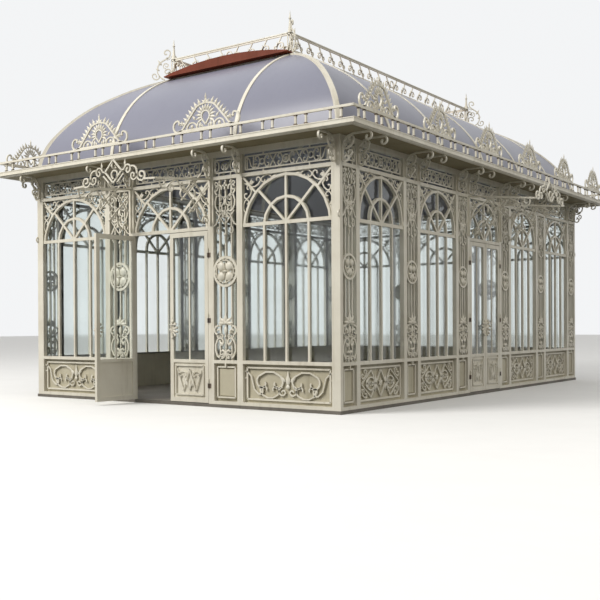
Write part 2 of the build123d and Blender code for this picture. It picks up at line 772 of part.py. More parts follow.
def roof_points(run, setback):
    # Ends and middles of the arcs of the roof curve, set in from the outer face
    slope = atan2(TOP_HANDLE_DROP * ROOF_RISE, TOP_HANDLE_RUN * run)
    end_height = ROOF_TOP - setback / cos(slope)
    lengthwise = (setback, setback, run - TOP_HANDLE_RUN * run, run)
    upward = (
        ROOF_SPRING,
        ROOF_SPRING + LOW_HANDLE * ROOF_RISE,
        end_height - TOP_HANDLE_DROP * ROOF_RISE,
        end_height,
    )
    points = []
    for step in range(2 * ROOF_ARCS + 1):
        t = step / (2 * ROOF_ARCS)
        pulls = ((1 - t) ** 3, 3 * t * (1 - t) ** 2, 3 * t ** 2 * (1 - t), t ** 3)
        x = sum(pull * value for pull, value in zip(pulls, lengthwise))
        y = sum(pull * value for pull, value in zip(pulls, upward))
        points.append((x, y))
    return points


def roof_arcs(points):
    # Chain of arcs in the current line
    for number in range(0, len(points) - 1, 2):
        ThreePointArc(points[number], points[number + 1], points[number + 2])


def curved_band(run, setback, depth, tongue):
    # Face between two roof curves, with a short level tongue into the curb
    outer = roof_points(run, setback)
    inner = roof_points(run, setback + depth)
    outer_end = outer[-1]
    inner_end = inner[-1]
    with BuildSketch() as band:
        with BuildLine():
            roof_arcs(outer)
            if tongue:
                Line(outer_end, (run + tongue, outer_end[1]))
                Line((run + tongue, outer_end[1]), (run + tongue, inner_end[1]))
                Line((run + tongue, inner_end[1]), inner_end)
            else:
                Line(outer_end, inner_end)
            roof_arcs(inner[::-1])
            Line(inner[0], outer[0])
        make_face()
    return band.sketch


def rib_plane(x, y, toward_x, toward_y):
    # Upright plane at a foot of the roof, with x running inward
    size = hypot(toward_x, toward_y)
    along = (toward_x / size, toward_y / size, 0)
    return Plane(origin=(x, y, 0), x_dir=along, z_dir=(along[1], -along[0], 0))


SIDE_RIB_PITCH = 2 * RIDGE_HALF_LENGTH / SIDE_ROOF_BAYS
SIDE_RIB_PLACES = [n * SIDE_RIB_PITCH - RIDGE_HALF_LENGTH for n in range(SIDE_ROOF_BAYS + 1)]
HIP_RUN = hypot(SIDE_RUN, FRONT_RUN)
SIDE_RIB = curved_band(SIDE_RUN, 0, RIB_DEPTH, 0)
FRONT_RIB = curved_band(FRONT_RUN, 0, RIB_DEPTH, 0)
HIP_RIB = curved_band(HIP_RUN, 0, RIB_DEPTH, RIB_TONGUE)

with BuildPart() as roof_ring:
    with BuildSketch(Plane.XY.offset(SOFFIT_TOP)):
        ring_sketch(HALF_WIDTH, HALF_LENGTH, WALL_DEPTH)
    extrude(amount=ROOF_SPRING - SOFFIT_TOP)
save(roof_ring, "roof_ring")

with BuildPart() as hip_ribs:
    for sx in (-1, 1):
        for sy in (-1, 1):
            hip = rib_plane(sx * HALF_WIDTH, sy * HALF_LENGTH, -sx * SIDE_RUN, -sy * FRONT_RUN)
            with BuildSketch(hip):
                add(HIP_RIB)
            extrude(amount=RIB_WIDTH / 2, both=True)
    with BuildSketch(Plane.XY.offset(CURB_TOP - CURB_HEIGHT)):
        Rectangle(2 * RIDGE_HALF_WIDTH, 2 * RIDGE_HALF_LENGTH)
    extrude(amount=2 * CURB_HEIGHT, mode=Mode.SUBTRACT)
save(hip_ribs, "hip_ribs")

with BuildPart() as cross_ribs:
    for sx in (-1, 1):
        for y in SIDE_RIB_PLACES:
            with BuildSketch(rib_plane(sx * HALF_WIDTH, y, -sx, 0)):
                add(SIDE_RIB)
            extrude(amount=RIB_WIDTH / 2, both=True)
        for sy in (-1, 1):
            with BuildSketch(rib_plane(sx * RIDGE_HALF_WIDTH, sy * HALF_LENGTH, 0, -sy)):
                add(FRONT_RIB)
            extrude(amount=RIB_WIDTH / 2, both=True)
    # The ribs stop at the sides of the hips, over their whole depth
    with BuildSketch(Plane.XY.offset(ROOF_SPRING)):
        for sx in (-1, 1):
            for sy in (-1, 1):
                turn = sx * sy * degrees(atan2(FRONT_RUN, SIDE_RUN))
                with Locations((sx * RIDGE_HALF_WIDTH, sy * RIDGE_HALF_LENGTH)):
                    Rectangle(HIP_RUN, RIB_WIDTH, rotation=turn)
    extrude(amount=CURB_TOP - ROOF_SPRING, mode=Mode.SUBTRACT)
save(cross_ribs, "cross_ribs")


def roof_bay(foot, run, half_span, shift):
    # One curved sheet between two ribs, centred at a shift along the eave
    with BuildPart() as sheet:
        with BuildSketch(foot.offset(shift)):
            add(curved_band(run, ROOF_SHEET_SETBACK, ROOF_SHEET, 0))
        extrude(amount=half_span, both=True)
    return sheet.part


def hip_plane(sx, sy, outward_x, outward_y):
    # Upright plane along a hip rib's side face, facing the given way
    normal = Vector(FRONT_RUN * sx, -SIDE_RUN * sy, 0)
    if normal.X * outward_x + normal.Y * outward_y < 0:
        normal = normal * -1
    normal = normal.normalized()
    corner = Vector(sx * HALF_WIDTH, sy * HALF_LENGTH, 0)
    return Plane(origin=corner + normal * (RIB_WIDTH / 2), z_dir=normal)


def roof_side(sign, is_front):
    # Sheets of one roof side: the bays between ribs and a cut sheet at each hip
    if is_front:
        foot = rib_plane(0, sign * HALF_LENGTH, 0, -sign)
        run, ridge_half, wall_half = FRONT_RUN, RIDGE_HALF_WIDTH, HALF_WIDTH
        bays = 1
    else:
        foot = rib_plane(sign * HALF_WIDTH, 0, -sign, 0)
        run, ridge_half, wall_half = SIDE_RUN, RIDGE_HALF_LENGTH, HALF_LENGTH
        bays = SIDE_ROOF_BAYS
    pitch = 2 * ridge_half / bays
    end_low = ridge_half + RIB_WIDTH / 2
    with BuildPart() as sheets:
        for number in range(bays):
            shift = (number + 0.5) * pitch - ridge_half
            add(roof_bay(foot, run, (pitch - RIB_WIDTH) / 2, shift))
        for end in (-1, 1):
            add(roof_bay(foot, run, (wall_half - end_low) / 2, end * (wall_half + end_low) / 2))
        for end in (-1, 1):
            if is_front:
                split(bisect_by=hip_plane(end, sign, 0, sign), keep=Keep.TOP)
            else:
                split(bisect_by=hip_plane(sign, end, sign, 0), keep=Keep.TOP)
    return sheets


save(roof_side(-1, True), "roof_glazing_front")
save(roof_side(1, True), "roof_glazing_back")
save(roof_side(1, False), "roof_glazing_right")
save(roof_side(-1, False), "roof_glazing_left")


# Ridge platform: curb, shallow barrel cap and the segment hoods on its ends

with BuildPart() as ridge_curb:
    with BuildSketch(Plane.XY.offset(CURB_TOP - CURB_HEIGHT)):
        ring_sketch(RIDGE_HALF_WIDTH, RIDGE_HALF_LENGTH, CURB_WIDTH)
    extrude(amount=CURB_HEIGHT)
save(ridge_curb, "ridge_curb")

CAP_HALF = RIDGE_HALF_WIDTH - CURB_WIDTH
CAP_HALF_LENGTH = RIDGE_HALF_LENGTH - CURB_WIDTH


def segment(half, low, edge, rise):
    # Straight lower edge, short upright edges and an arched top
    with BuildSketch() as outline:
        with BuildLine():
            Polyline((-half, low + edge), (-half, low), (half, low), (half, low + edge))
            ThreePointArc((half, low + edge), (0, low + edge + rise), (-half, low + edge))
        make_face()
    return outline.sketch


with BuildPart() as ridge_cap:
    with BuildSketch(Plane.XZ):
        add(segment(CAP_HALF, CURB_TOP - CAP_SEAT, CAP_SEAT, CAP_RISE))
    extrude(amount=CAP_HALF_LENGTH, both=True)
    with BuildSketch(Plane.XZ):
        add(segment(
            CAP_HALF - CAP_SHEET, CURB_TOP - 2 * CAP_SEAT, 2 * CAP_SEAT - CAP_SHEET, CAP_RISE
        ))
    extrude(amount=CAP_HALF_LENGTH - CAP_SHEET, both=True, mode=Mode.SUBTRACT)
save(ridge_cap, "ridge_cap")

with BuildPart() as ridge_hoods:
    for sign in (-1, 1):
        with BuildSketch(Plane.XZ.offset(-sign * RIDGE_HALF_LENGTH)):
            add(segment(
                RIDGE_HALF_WIDTH + HOOD_OVERHANG, ROOF_TOP + HOOD_ABOVE_ROOF, HOOD_EDGE, HOOD_RISE
            ))
        extrude(amount=-sign * HOOD_DEPTH)
save(ridge_hoods, "ridge_hoods")


# Cresting: two rails with leaning bars, and a spire on each corner

CRESTING_LINE_X = RIDGE_HALF_WIDTH - CURB_WIDTH / 2
CRESTING_LINE_Y = RIDGE_HALF_LENGTH - CURB_WIDTH / 2


def cresting_run(half):
    # Leaning bars that mirror about the middle of the run
    count = floor((half - FINIAL_BASE) / CRESTING_PITCH)
    length = hypot(CRESTING_HIGH - CRESTING_LOW, CRESTING_LEAN)
    lean = atan2(CRESTING_LEAN, CRESTING_HIGH - CRESTING_LOW)
    for side in (-1, 1):
        for number in range(count):
            x = side * (number + 0.25) * CRESTING_PITCH
            slanted(x, CRESTING_LOW, length, CRESTING_BAR, -side * degrees(lean))


def cresting_plane(face, line):
    return Plane(origin=face.z_dir * line, x_dir=face.x_dir, z_dir=face.z_dir)


with BuildPart() as ridge_cresting:
    for rail_z in (CRESTING_LOW, CRESTING_HIGH):
        with BuildSketch(Plane.XY.offset(rail_z - CRESTING_RAIL / 2)):
            ring_sketch(
                CRESTING_LINE_X + CRESTING_THICK / 2,
                CRESTING_LINE_Y + CRESTING_THICK / 2,
                CRESTING_THICK,
            )
        extrude(amount=CRESTING_RAIL)
    for face, half, line in (
        (FRONT_FACE, CRESTING_LINE_X, CRESTING_LINE_Y),
        (BACK_FACE, CRESTING_LINE_X, CRESTING_LINE_Y),
        (RIGHT_FACE, CRESTING_LINE_Y, CRESTING_LINE_X),
        (LEFT_FACE, CRESTING_LINE_Y, CRESTING_LINE_X),
    ):
        with BuildSketch(cresting_plane(face, line)):
            cresting_run(half)
        extrude(amount=CRESTING_THICK / 2, both=True)
    with BuildSketch(Plane.XY.offset(CURB_TOP)):
        with GridLocations(2 * CRESTING_LINE_X, 2 * CRESTING_LINE_Y, 2, 2):
            Rectangle(FINIAL_BASE, FINIAL_BASE)
    extrude(amount=CRESTING_HIGH + CRESTING_RAIL / 2 - CURB_TOP)
save(ridge_cresting, "ridge_cresting")

SPIRE_LOW = CRESTING_HIGH + CRESTING_RAIL / 2

with BuildPart() as ridge_finials:
    for low, wide, narrow, height in (
        (SPIRE_LOW, FINIAL_FOOT, FINIAL_RADIUS, FINIAL_FOOT_HEIGHT),
        (SPIRE_LOW + FINIAL_FOOT_HEIGHT, FINIAL_RADIUS, FINIAL_TIP, FINIAL_HEIGHT),
    ):
        with BuildSketch(Plane.XY.offset(low)):
            with GridLocations(2 * CRESTING_LINE_X, 2 * CRESTING_LINE_Y, 2, 2):
                RegularPolygon(wide, FINIAL_SIDES)
        extrude(amount=height, taper=degrees(atan2(wide - narrow, height)))
save(ridge_finials, "ridge_finials")


# Scroll wings beside the corner posts, standing on the hips

def wing_curl(place):
    with Locations((place[0], CURB_TOP + place[1])):
        RegularPolygon(WING_CURL + WING_BAR / 2, WING_CURL_SIDES)
        RegularPolygon(WING_CURL - WING_BAR / 2, WING_CURL_SIDES, mode=Mode.SUBTRACT)


def wing_curve():
    # Ring cut back to its outward half, and above its middle to the end of the neck
    reach = 4 * WING_CURVE
    middle = CURB_TOP + WING_CURVE_AT[1]
    with BuildSketch() as curve:
        with Locations((WING_CURVE_AT[0], middle)):
            RegularPolygon(WING_CURVE + WING_BAR / 2, WING_CURVE_SIDES)
            RegularPolygon(WING_CURVE - WING_BAR / 2, WING_CURVE_SIDES, mode=Mode.SUBTRACT)
            Rectangle(reach, reach, align=(Align.MAX, Align.CENTER), mode=Mode.SUBTRACT)
        with Locations((WING_NECK_TO[0], middle)):
            Rectangle(reach, reach, align=(Align.MAX, Align.MIN), mode=Mode.SUBTRACT)
    return curve.sketch


def wing(sx, sy):
    curve = wing_curve()
    out = WING_NECK_TO[0] - WING_NECK_FROM[0]
    up = WING_NECK_TO[1] - WING_NECK_FROM[1]
    neck_foot = CURB_TOP + WING_NECK_FROM[1]
    side = rib_plane(sx * CRESTING_LINE_X, sy * CRESTING_LINE_Y, sx * SIDE_RUN, sy * FRONT_RUN)
    with BuildPart() as scrolls:
        with BuildSketch(side):
            add(curve)
            slanted(WING_NECK_FROM[0], neck_foot, hypot(out, up), WING_BAR, -degrees(atan2(out, up)))
            wing_curl(WING_TOP_CURL)
            wing_curl(WING_LOW_CURL)
            wing_curl(WING_INNER_CURL)
        extrude(amount=WING_BAR / 2, both=True)
    return scrolls.part


with BuildPart() as ridge_wings:
    for sx in (-1, 1):
        for sy in (-1, 1):
            add(wing(sx, sy))
    for neighbour in (ridge_cresting, ridge_finials, ridge_hoods, hip_ribs):
        add(neighbour.part, mode=Mode.SUBTRACT)
save(ridge_wings, "ridge_wings")


# Porch brackets: two arms with a lattice bracket, joined by an ornamental front

def bracket_plane(face, place):
    # Upright plane square to the wall, with x running outward
    foot = face.origin + face.x_dir * place
    outward = face.z_dir
    return Plane(origin=foot, x_dir=outward, z_dir=(outward.Y, -outward.X, 0))


def porch_arm(face, place):
    # Sloping arm on a door post with a lattice of crossing bars under it
    arm_length = hypot(PORCH_REACH, PORCH_DROP)
    arm_angle = -90 - degrees(atan2(PORCH_DROP, PORCH_REACH))
    centre_height = PORCH_HEIGHT - BRACKET_BELOW
    with BuildPart() as arm:
        with BuildSketch(bracket_plane(face, place)):
            slanted(0, PORCH_HEIGHT, arm_length, PORCH_BAR, arm_angle)
            with Locations((0, PORCH_HEIGHT)):
                Rectangle(
                    PORCH_BAR, 2 * PORCH_BAR, align=(Align.MAX, Align.CENTER), mode=Mode.SUBTRACT
                )
        extrude(amount=PORCH_BAR / 2, both=True)
        with BuildSketch(bracket_plane(face, place)):
            for angle in (-45, 45):
                for side in (-1, 1):
                    across = side * BRACKET_SIDE / 2
                    x = BRACKET_CENTRE + across * cos(radians(angle))
                    y = centre_height + across * sin(radians(angle))
                    with Locations((x, y)):
                        Rectangle(BRACKET_BAR, BRACKET_LENGTH, rotation=angle)
            upright(BRACKET_BAR / 2, BRACKET_BAR, centre_height - BRACKET_LENGTH / 2, PORCH_HEIGHT)
        extrude(amount=BRACKET_BAR / 2, both=True)
    return arm.part


def pediment(face, joint):
    # Front bar between the ends of two arms, with a diamond and a row of rings
    end_height = PORCH_HEIGHT - PORCH_DROP
    diamond = PEDIMENT_RISE / sqrt(2)
    with BuildPart() as front:
        with BuildSketch(face.offset(PORCH_REACH)):
            level(
                -joint - PORCH_BAR / 2,
                joint + PORCH_BAR / 2,
                end_height - PORCH_BAR / 2,
                end_height + PORCH_BAR / 2,
            )
            with Locations((0, end_height + PEDIMENT_RISE / 2)):
                Rectangle(diamond, diamond, rotation=45)
                Rectangle(
                    diamond - 2 * BRACKET_BAR,
                    diamond - 2 * BRACKET_BAR,
                    rotation=45,
                    mode=Mode.SUBTRACT,
                )
            for side in (-1, 1):
                for number in range(PEDIMENT_RINGS):
                    past = (number + 0.5) * (2 * PEDIMENT_RING - PEDIMENT_RING_LAP)
                    x = side * (PEDIMENT_RISE / 2 + past)
                    with Locations((x, end_height + PEDIMENT_RING)):
                        RegularPolygon(PEDIMENT_RING, 8)
                        RegularPolygon(PEDIMENT_RING - BRACKET_BAR, 8, mode=Mode.SUBTRACT)
        extrude(amount=BRACKET_BAR)
    return front.part


PORCH_DOORS = ((FRONT_FACE, FRONT_JOINT), (RIGHT_FACE, SIDE_JOINT))

with BuildPart() as porch_pediments:
    for face, joint in PORCH_DOORS:
        add(pediment(face, joint))
save(porch_pediments, "porch_pediments")

with BuildPart() as porch_arms:
    for face, joint in PORCH_DOORS:
        add(porch_arm(face, -joint))
        add(porch_arm(face, joint))
    add(porch_pediments.part, mode=Mode.SUBTRACT)
save(porch_arms, "porch_arms")
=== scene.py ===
from math import asin, atan2, ceil, cos, degrees, hypot, pi, radians, sin, sqrt

import bpy
import json
from mathutils import Matrix, Vector


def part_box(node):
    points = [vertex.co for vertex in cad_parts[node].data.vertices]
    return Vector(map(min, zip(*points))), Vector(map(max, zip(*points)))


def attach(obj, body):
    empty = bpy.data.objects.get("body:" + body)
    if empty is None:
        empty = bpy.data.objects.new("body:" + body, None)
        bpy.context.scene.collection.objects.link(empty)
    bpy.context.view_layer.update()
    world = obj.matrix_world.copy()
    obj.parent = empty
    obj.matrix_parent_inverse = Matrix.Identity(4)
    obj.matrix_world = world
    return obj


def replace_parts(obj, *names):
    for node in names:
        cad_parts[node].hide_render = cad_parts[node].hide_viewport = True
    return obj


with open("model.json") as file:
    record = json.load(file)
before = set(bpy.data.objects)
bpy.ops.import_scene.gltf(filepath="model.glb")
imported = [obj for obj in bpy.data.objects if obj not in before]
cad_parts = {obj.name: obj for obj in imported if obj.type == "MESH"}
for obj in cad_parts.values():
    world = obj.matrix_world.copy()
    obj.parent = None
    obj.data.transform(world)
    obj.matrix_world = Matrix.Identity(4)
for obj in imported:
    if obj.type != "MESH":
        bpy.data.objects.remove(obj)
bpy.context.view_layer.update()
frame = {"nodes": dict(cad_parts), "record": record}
nodes = frame["nodes"]

# Main sizes in metres, read from the frame
BACK_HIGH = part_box("back_wall")[1]
GUTTER_LOW, GUTTER_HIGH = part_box("gutter")
RAIL_LOW, RAIL_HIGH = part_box("low_rail")
CURB_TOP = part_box("ridge_curb")[1].z
SOFFIT_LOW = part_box("soffit")[0].z
PORCH_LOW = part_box("porch_pediments")[0]
HALF_WIDTH = BACK_HIGH.x
HALF_LENGTH = BACK_HIGH.y

# Layout of the bays, the same along every wall
FRONT_WINDOW = 1.330
FRONT_PANEL = 0.380
FRONT_DOOR = 1.340
FRONT_POST = 0.090
SIDE_WINDOW = 1.090
SIDE_PANEL = 0.300
SIDE_DOOR = 1.090
SIDE_POST = 0.080
LOWER_BASE = 0.080
DADO_LOW = 0.562
LOWER_MIDDLE = (LOWER_BASE + DADO_LOW) / 2
LOWER_EDGE = 0.045
HEADER_LOW = 2.900
HEADER_TOP = 2.945
TOP_RAIL_LOW = 3.190
ARCH_APEX = 2.894
INNER_APEX = 2.625
SPRING = 2.296
ROSETTE_Z = 1.730
ARCH_BAR = 0.034
ARCH_SIDES = 24
INNER_ARCH_SIDES = 16

# Depths behind the outer face of a wall
IRON_DEPTH = 0.029
LOWER_DEPTH = 0.042
PANEL_DEPTH = 0.008
SMOOTH_BELOW = radians(42)

FRONT_PANEL_X = (FRONT_DOOR + FRONT_PANEL) / 2 + FRONT_POST
FRONT_WINDOW_X = FRONT_DOOR / 2 + FRONT_PANEL + 2 * FRONT_POST + FRONT_WINDOW / 2
SIDE_STEP = SIDE_WINDOW + SIDE_PANEL + 2 * SIDE_POST
SIDE_PANEL_X = (SIDE_DOOR + SIDE_PANEL) / 2 + SIDE_POST
SIDE_WINDOW_X = SIDE_DOOR / 2 + SIDE_PANEL + 2 * SIDE_POST + SIDE_WINDOW / 2

FRONT_WINDOWS = [-FRONT_WINDOW_X, FRONT_WINDOW_X]
FRONT_PANELS = [-FRONT_PANEL_X, FRONT_PANEL_X]
SIDE_WINDOWS = [s * (SIDE_WINDOW_X + n * SIDE_STEP) for s in (-1, 1) for n in range(2)]
SIDE_PANELS = [s * (SIDE_PANEL_X + n * SIDE_STEP) for s in (-1, 1) for n in range(3)]


# Materials


def link(tree, source, target):
    tree.links.new(source, target)


def new_group(name, inputs, outputs):
    group = bpy.data.node_groups.new(name, "ShaderNodeTree")
    for label, kind, value in inputs:
        socket = group.interface.new_socket(label, in_out="INPUT", socket_type=kind)
        if value is not None:
            socket.default_value = value
    for label, kind in outputs:
        group.interface.new_socket(label, in_out="OUTPUT", socket_type=kind)
    entry = group.nodes.new("NodeGroupInput")
    leave = group.nodes.new("NodeGroupOutput")
    return group, entry, leave


def node(tree, kind, **values):
    made = tree.nodes.new(kind)
    for label, value in values.items():
        if hasattr(made, label):
            setattr(made, label, value)
        else:
            made.inputs[label.replace("_", " ")].default_value = value
    return made


def weathering_group():
    """Soft stains and faint runs down the surface, as a mask and a height."""
    group, entry, leave = new_group(
        "outdoor weathering",
        [
            ("Vector", "NodeSocketVector", None),
            ("Stain Scale", "NodeSocketFloat", 2.0),
            ("Run Scale", "NodeSocketFloat", 14.0),
        ],
        [("Stain", "NodeSocketFloat"), ("Run", "NodeSocketFloat"), ("Height", "NodeSocketFloat")],
    )
    stain = node(group, "ShaderNodeTexNoise", Detail=6.0, Roughness=0.62)
    link(group, entry.outputs["Vector"], stain.inputs["Vector"])
    link(group, entry.outputs["Stain Scale"], stain.inputs["Scale"])
    spread = node(group, "ShaderNodeMapRange", From_Min=0.38, From_Max=0.68)
    link(group, stain.outputs["Fac"], spread.inputs["Value"])
    squeeze = node(group, "ShaderNodeMapping", Scale=(1.0, 1.0, 0.09))
    link(group, entry.outputs["Vector"], squeeze.inputs["Vector"])
    runs = node(group, "ShaderNodeTexNoise", Detail=4.0, Roughness=0.55)
    link(group, squeeze.outputs["Vector"], runs.inputs["Vector"])
    link(group, entry.outputs["Run Scale"], runs.inputs["Scale"])
    thin = node(group, "ShaderNodeMapRange", From_Min=0.52, From_Max=0.75)
    link(group, runs.outputs["Fac"], thin.inputs["Value"])
    fine = node(group, "ShaderNodeTexNoise", Scale=160.0, Detail=3.0)
    link(group, entry.outputs["Vector"], fine.inputs["Vector"])
    link(group, spread.outputs["Result"], leave.inputs["Stain"])
    link(group, thin.outputs["Result"], leave.inputs["Run"])
    link(group, fine.outputs["Fac"], leave.inputs["Height"])
    return group


def colour_blend_group():
    """Base colour darkened by a stain and by runs, each with its own tint."""
    group, entry, leave = new_group(
        "stained colour",
        [
            ("Clean", "NodeSocketColor", None),
            ("Dirty", "NodeSocketColor", None),
            ("Stain", "NodeSocketFloat", 0.0),
            ("Run", "NodeSocketFloat", 0.0),
            ("Stain Amount", "NodeSocketFloat", 0.3),
            ("Run Amount", "NodeSocketFloat", 0.25),
        ],
        [("Color", "NodeSocketColor"), ("Mask", "NodeSocketFloat")],
    )
    stain = node(group, "ShaderNodeMath", operation="MULTIPLY")
    link(group, entry.outputs["Stain"], stain.inputs[0])
    link(group, entry.outputs["Stain Amount"], stain.inputs[1])
    run = node(group, "ShaderNodeMath", operation="MULTIPLY_ADD")
    link(group, entry.outputs["Run"], run.inputs[0])
    link(group, entry.outputs["Run Amount"], run.inputs[1])
    link(group, stain.outputs[0], run.inputs[2])
    mix = node(group, "ShaderNodeMix", data_type="RGBA")
    link(group, run.outputs[0], mix.inputs["Factor"])
    link(group, entry.outputs["Clean"], mix.inputs[6])
    link(group, entry.outputs["Dirty"], mix.inputs[7])
    link(group, mix.outputs[2], leave.inputs["Color"])
    link(group, run.outputs[0], leave.inputs["Mask"])
    return group


WEATHERING = weathering_group()
STAINED = colour_blend_group()


def weathered_colour(tree, clean, dirty, amounts, scales):
    """Stained base colour of a finish; the amounts and scales are of stains and of runs."""
    where = node(tree, "ShaderNodeTexCoord")
    weather = node(tree, "ShaderNodeGroup")
    weather.node_tree = WEATHERING
    weather.inputs["Stain Scale"].default_value = scales[0]
    weather.inputs["Run Scale"].default_value = scales[1]
    link(tree, where.outputs["Object"], weather.inputs["Vector"])
    colour = node(tree, "ShaderNodeGroup")
    colour.node_tree = STAINED
    colour.inputs["Clean"].default_value = (*clean, 1)
    colour.inputs["Dirty"].default_value = (*dirty, 1)
    colour.inputs["Stain Amount"].default_value = amounts[0]
    colour.inputs["Run Amount"].default_value = amounts[1]
    link(tree, weather.outputs["Stain"], colour.inputs["Stain"])
    link(tree, weather.outputs["Run"], colour.inputs["Run"])
    link(tree, colour.outputs["Color"], tree.nodes["Principled BSDF"].inputs["Base Color"])
    return where, weather, colour


def uneven_gloss(tree, colour, clean, dirty):
    """Roughness that rises from clean to stained places."""
    gloss = node(tree, "ShaderNodeMapRange", To_Min=clean, To_Max=dirty)
    link(tree, colour.outputs["Mask"], gloss.inputs["Value"])
    link(tree, gloss.outputs["Result"], tree.nodes["Principled BSDF"].inputs["Roughness"])


def fine_relief(tree, height, strength, distance):
    bump = node(tree, "ShaderNodeBump", Strength=strength, Distance=distance)
    link(tree, height, bump.inputs["Height"])
    link(tree, bump.outputs["Normal"], tree.nodes["Principled BSDF"].inputs["Normal"])


def new_finish(name):
    material = bpy.data.materials.new(name)
    material.use_nodes = True
    return material, material.node_tree, material.node_tree.nodes["Principled BSDF"].inputs


def painted_finish(name, clean, dirty, stain, run, rough, bump, metallic=0.0, specular=0.5):
    """Paint, board or stone with stains, runs, uneven gloss and a fine bump."""
    material, tree, values = new_finish(name)
    _, weather, colour = weathered_colour(tree, clean, dirty, (stain, run), (1.7, 13.0))
    uneven_gloss(tree, colour, rough, min(1.0, rough + 0.3))
    fine_relief(tree, weather.outputs["Height"], bump, 0.002)
    values["Metallic"].default_value = metallic
    values["Specular IOR Level"].default_value = specular
    return material


def clear_glass(name, tint, roughness, transmission, ripple, specular=0.5):
    """Sheet with a slight ripple and a little dust in patches."""
    material, tree, values = new_finish(name)
    dusty = [c * 0.9 for c in tint]
    where, _, colour = weathered_colour(tree, tint, dusty, (0.5, 0.3), (0.9, 9.0))
    uneven_gloss(tree, colour, roughness, roughness + 0.08)
    wave = node(tree, "ShaderNodeTexNoise", Scale=1.6, Detail=1.0)
    link(tree, where.outputs["Object"], wave.inputs["Vector"])
    fine_relief(tree, wave.outputs["Fac"], ripple, 0.004)
    values["Transmission Weight"].default_value = transmission
    values["IOR"].default_value = 1.45
    values["Specular IOR Level"].default_value = specular
    return material


IVORY = painted_finish("ivory iron paint", (0.73, 0.695, 0.59), (0.36, 0.31, 0.21), 0.28, 0.3, 0.38, 0.25)
BEIGE = painted_finish("beige panel paint", (0.50, 0.46, 0.34), (0.26, 0.23, 0.15), 0.4, 0.4, 0.45, 0.25)
BOARDS = painted_finish(
    "beige soffit boards", (0.20, 0.170, 0.095), (0.11, 0.090, 0.050), 0.45, 0.2, 0.6, 0.3
)
RED_BROWN = painted_finish(
    "red-brown ridge paint", (0.170, 0.030, 0.010), (0.085, 0.025, 0.010), 0.5, 0.3, 0.42, 0.3, 0.0, 0.15
)
DARK_BASE = painted_finish(
    "weathered plinth paint", (0.16, 0.145, 0.12), (0.07, 0.062, 0.05), 0.5, 0.4, 0.6, 0.4
)
STONE = painted_finish("honed floor stone", (0.36, 0.32, 0.27), (0.24, 0.21, 0.17), 0.6, 0.0, 0.5, 0.3)
# Worn dark iron of the hinges; the same dark paint is also painted shade on the blocks at each baluster's
# foot and head.
DARK_IRON_AND_SHADE = painted_finish(
    "worn dark iron", (0.09, 0.08, 0.07), (0.16, 0.10, 0.06), 0.5, 0.3, 0.5, 0.4, 0.6
)
WINDOW_GLASS = clear_glass("window glass", (0.90, 0.94, 0.93), 0.015, 1.0, 0.03)
ROOF_SHEET = clear_glass("blue-grey roof sheet", (0.25, 0.255, 0.32), 0.30, 0.15, 0.05, 0.30)

FINISH = {
    "painted_iron": IVORY,
    "window_glass": WINDOW_GLASS,
    "roof_sheet": ROOF_SHEET,
    "soffit_boards": BOARDS,
    "panel_sheet": BEIGE,
    "ridge_red_brown": RED_BROWN,
    "floor_stone": STONE,
    "plinth": DARK_BASE,
    "hinge_iron": DARK_IRON_AND_SHADE,
}
slot_of = {s["node"]: s["material_slot"] for s in frame["record"]["subparts"]}
for name, thing in nodes.items():
    thing.data.materials.clear()
    thing.data.materials.append(FINISH[slot_of[name]])


# Tools for the ironwork. A drawing lies in the XZ plane, seen from the front, Y into the wall.


def deselect():
    bpy.ops.object.select_all(action="DESELECT")


def edit_all():
    """The active piece, in edit mode and with all of it selected."""
    bpy.ops.object.mode_set(mode="EDIT")
    bpy.ops.mesh.select_all(action="SELECT")
    return bpy.context.active_object


def edit_where(piece, wanted):
    """Edit mode, with the vertices selected whose place passes a test."""
    bpy.ops.mesh.select_all(action="DESELECT")
    bpy.ops.object.mode_set(mode="OBJECT")
    for vertex in piece.data.vertices:
        vertex.select = wanted(vertex.co)
    bpy.ops.object.mode_set(mode="EDIT")


def close_edit():
    """Faces turned outwards, and back to object mode."""
    bpy.ops.mesh.select_all(action="SELECT")
    bpy.ops.mesh.normals_make_consistent(inside=False)
    bpy.ops.object.mode_set(mode="OBJECT")


def extrude(x, y, z):
    bpy.ops.mesh.extrude_region_move(TRANSFORM_OT_translate={"value": (x, y, z)})


def join(pieces, name="ironwork"):
    deselect()
    for piece in pieces:
        piece.select_set(True)
    bpy.context.view_layer.objects.active = pieces[0]
    if len(pieces) > 1:
        bpy.ops.object.join()
    joined = bpy.context.active_object
    joined.name = name
    joined.data.name = name
    return joined


def new_object(name, data):
    made = bpy.data.objects.new(name, data)
    bpy.context.scene.collection.objects.link(made)
    return made


def duplicate(piece, matrix, flip=False):
    mesh = piece.data.copy()
    mesh.transform(matrix)
    if flip:
        mesh.flip_normals()
    return new_object(piece.name, mesh)


def mirrored(piece):
    return duplicate(piece, Matrix.Scale(-1, 4, Vector((1, 0, 0))), True)


def both_sides(pieces):
    return pieces + [mirrored(piece) for piece in pieces]


def moved(piece, x=0.0, z=0.0, y=0.0):
    piece.data.transform(Matrix.Translation((x, y, z)))
    return piece


def tilted(piece, degrees_left):
    piece.data.transform(Matrix.Rotation(-radians(degrees_left), 4, "Y"))
    return piece


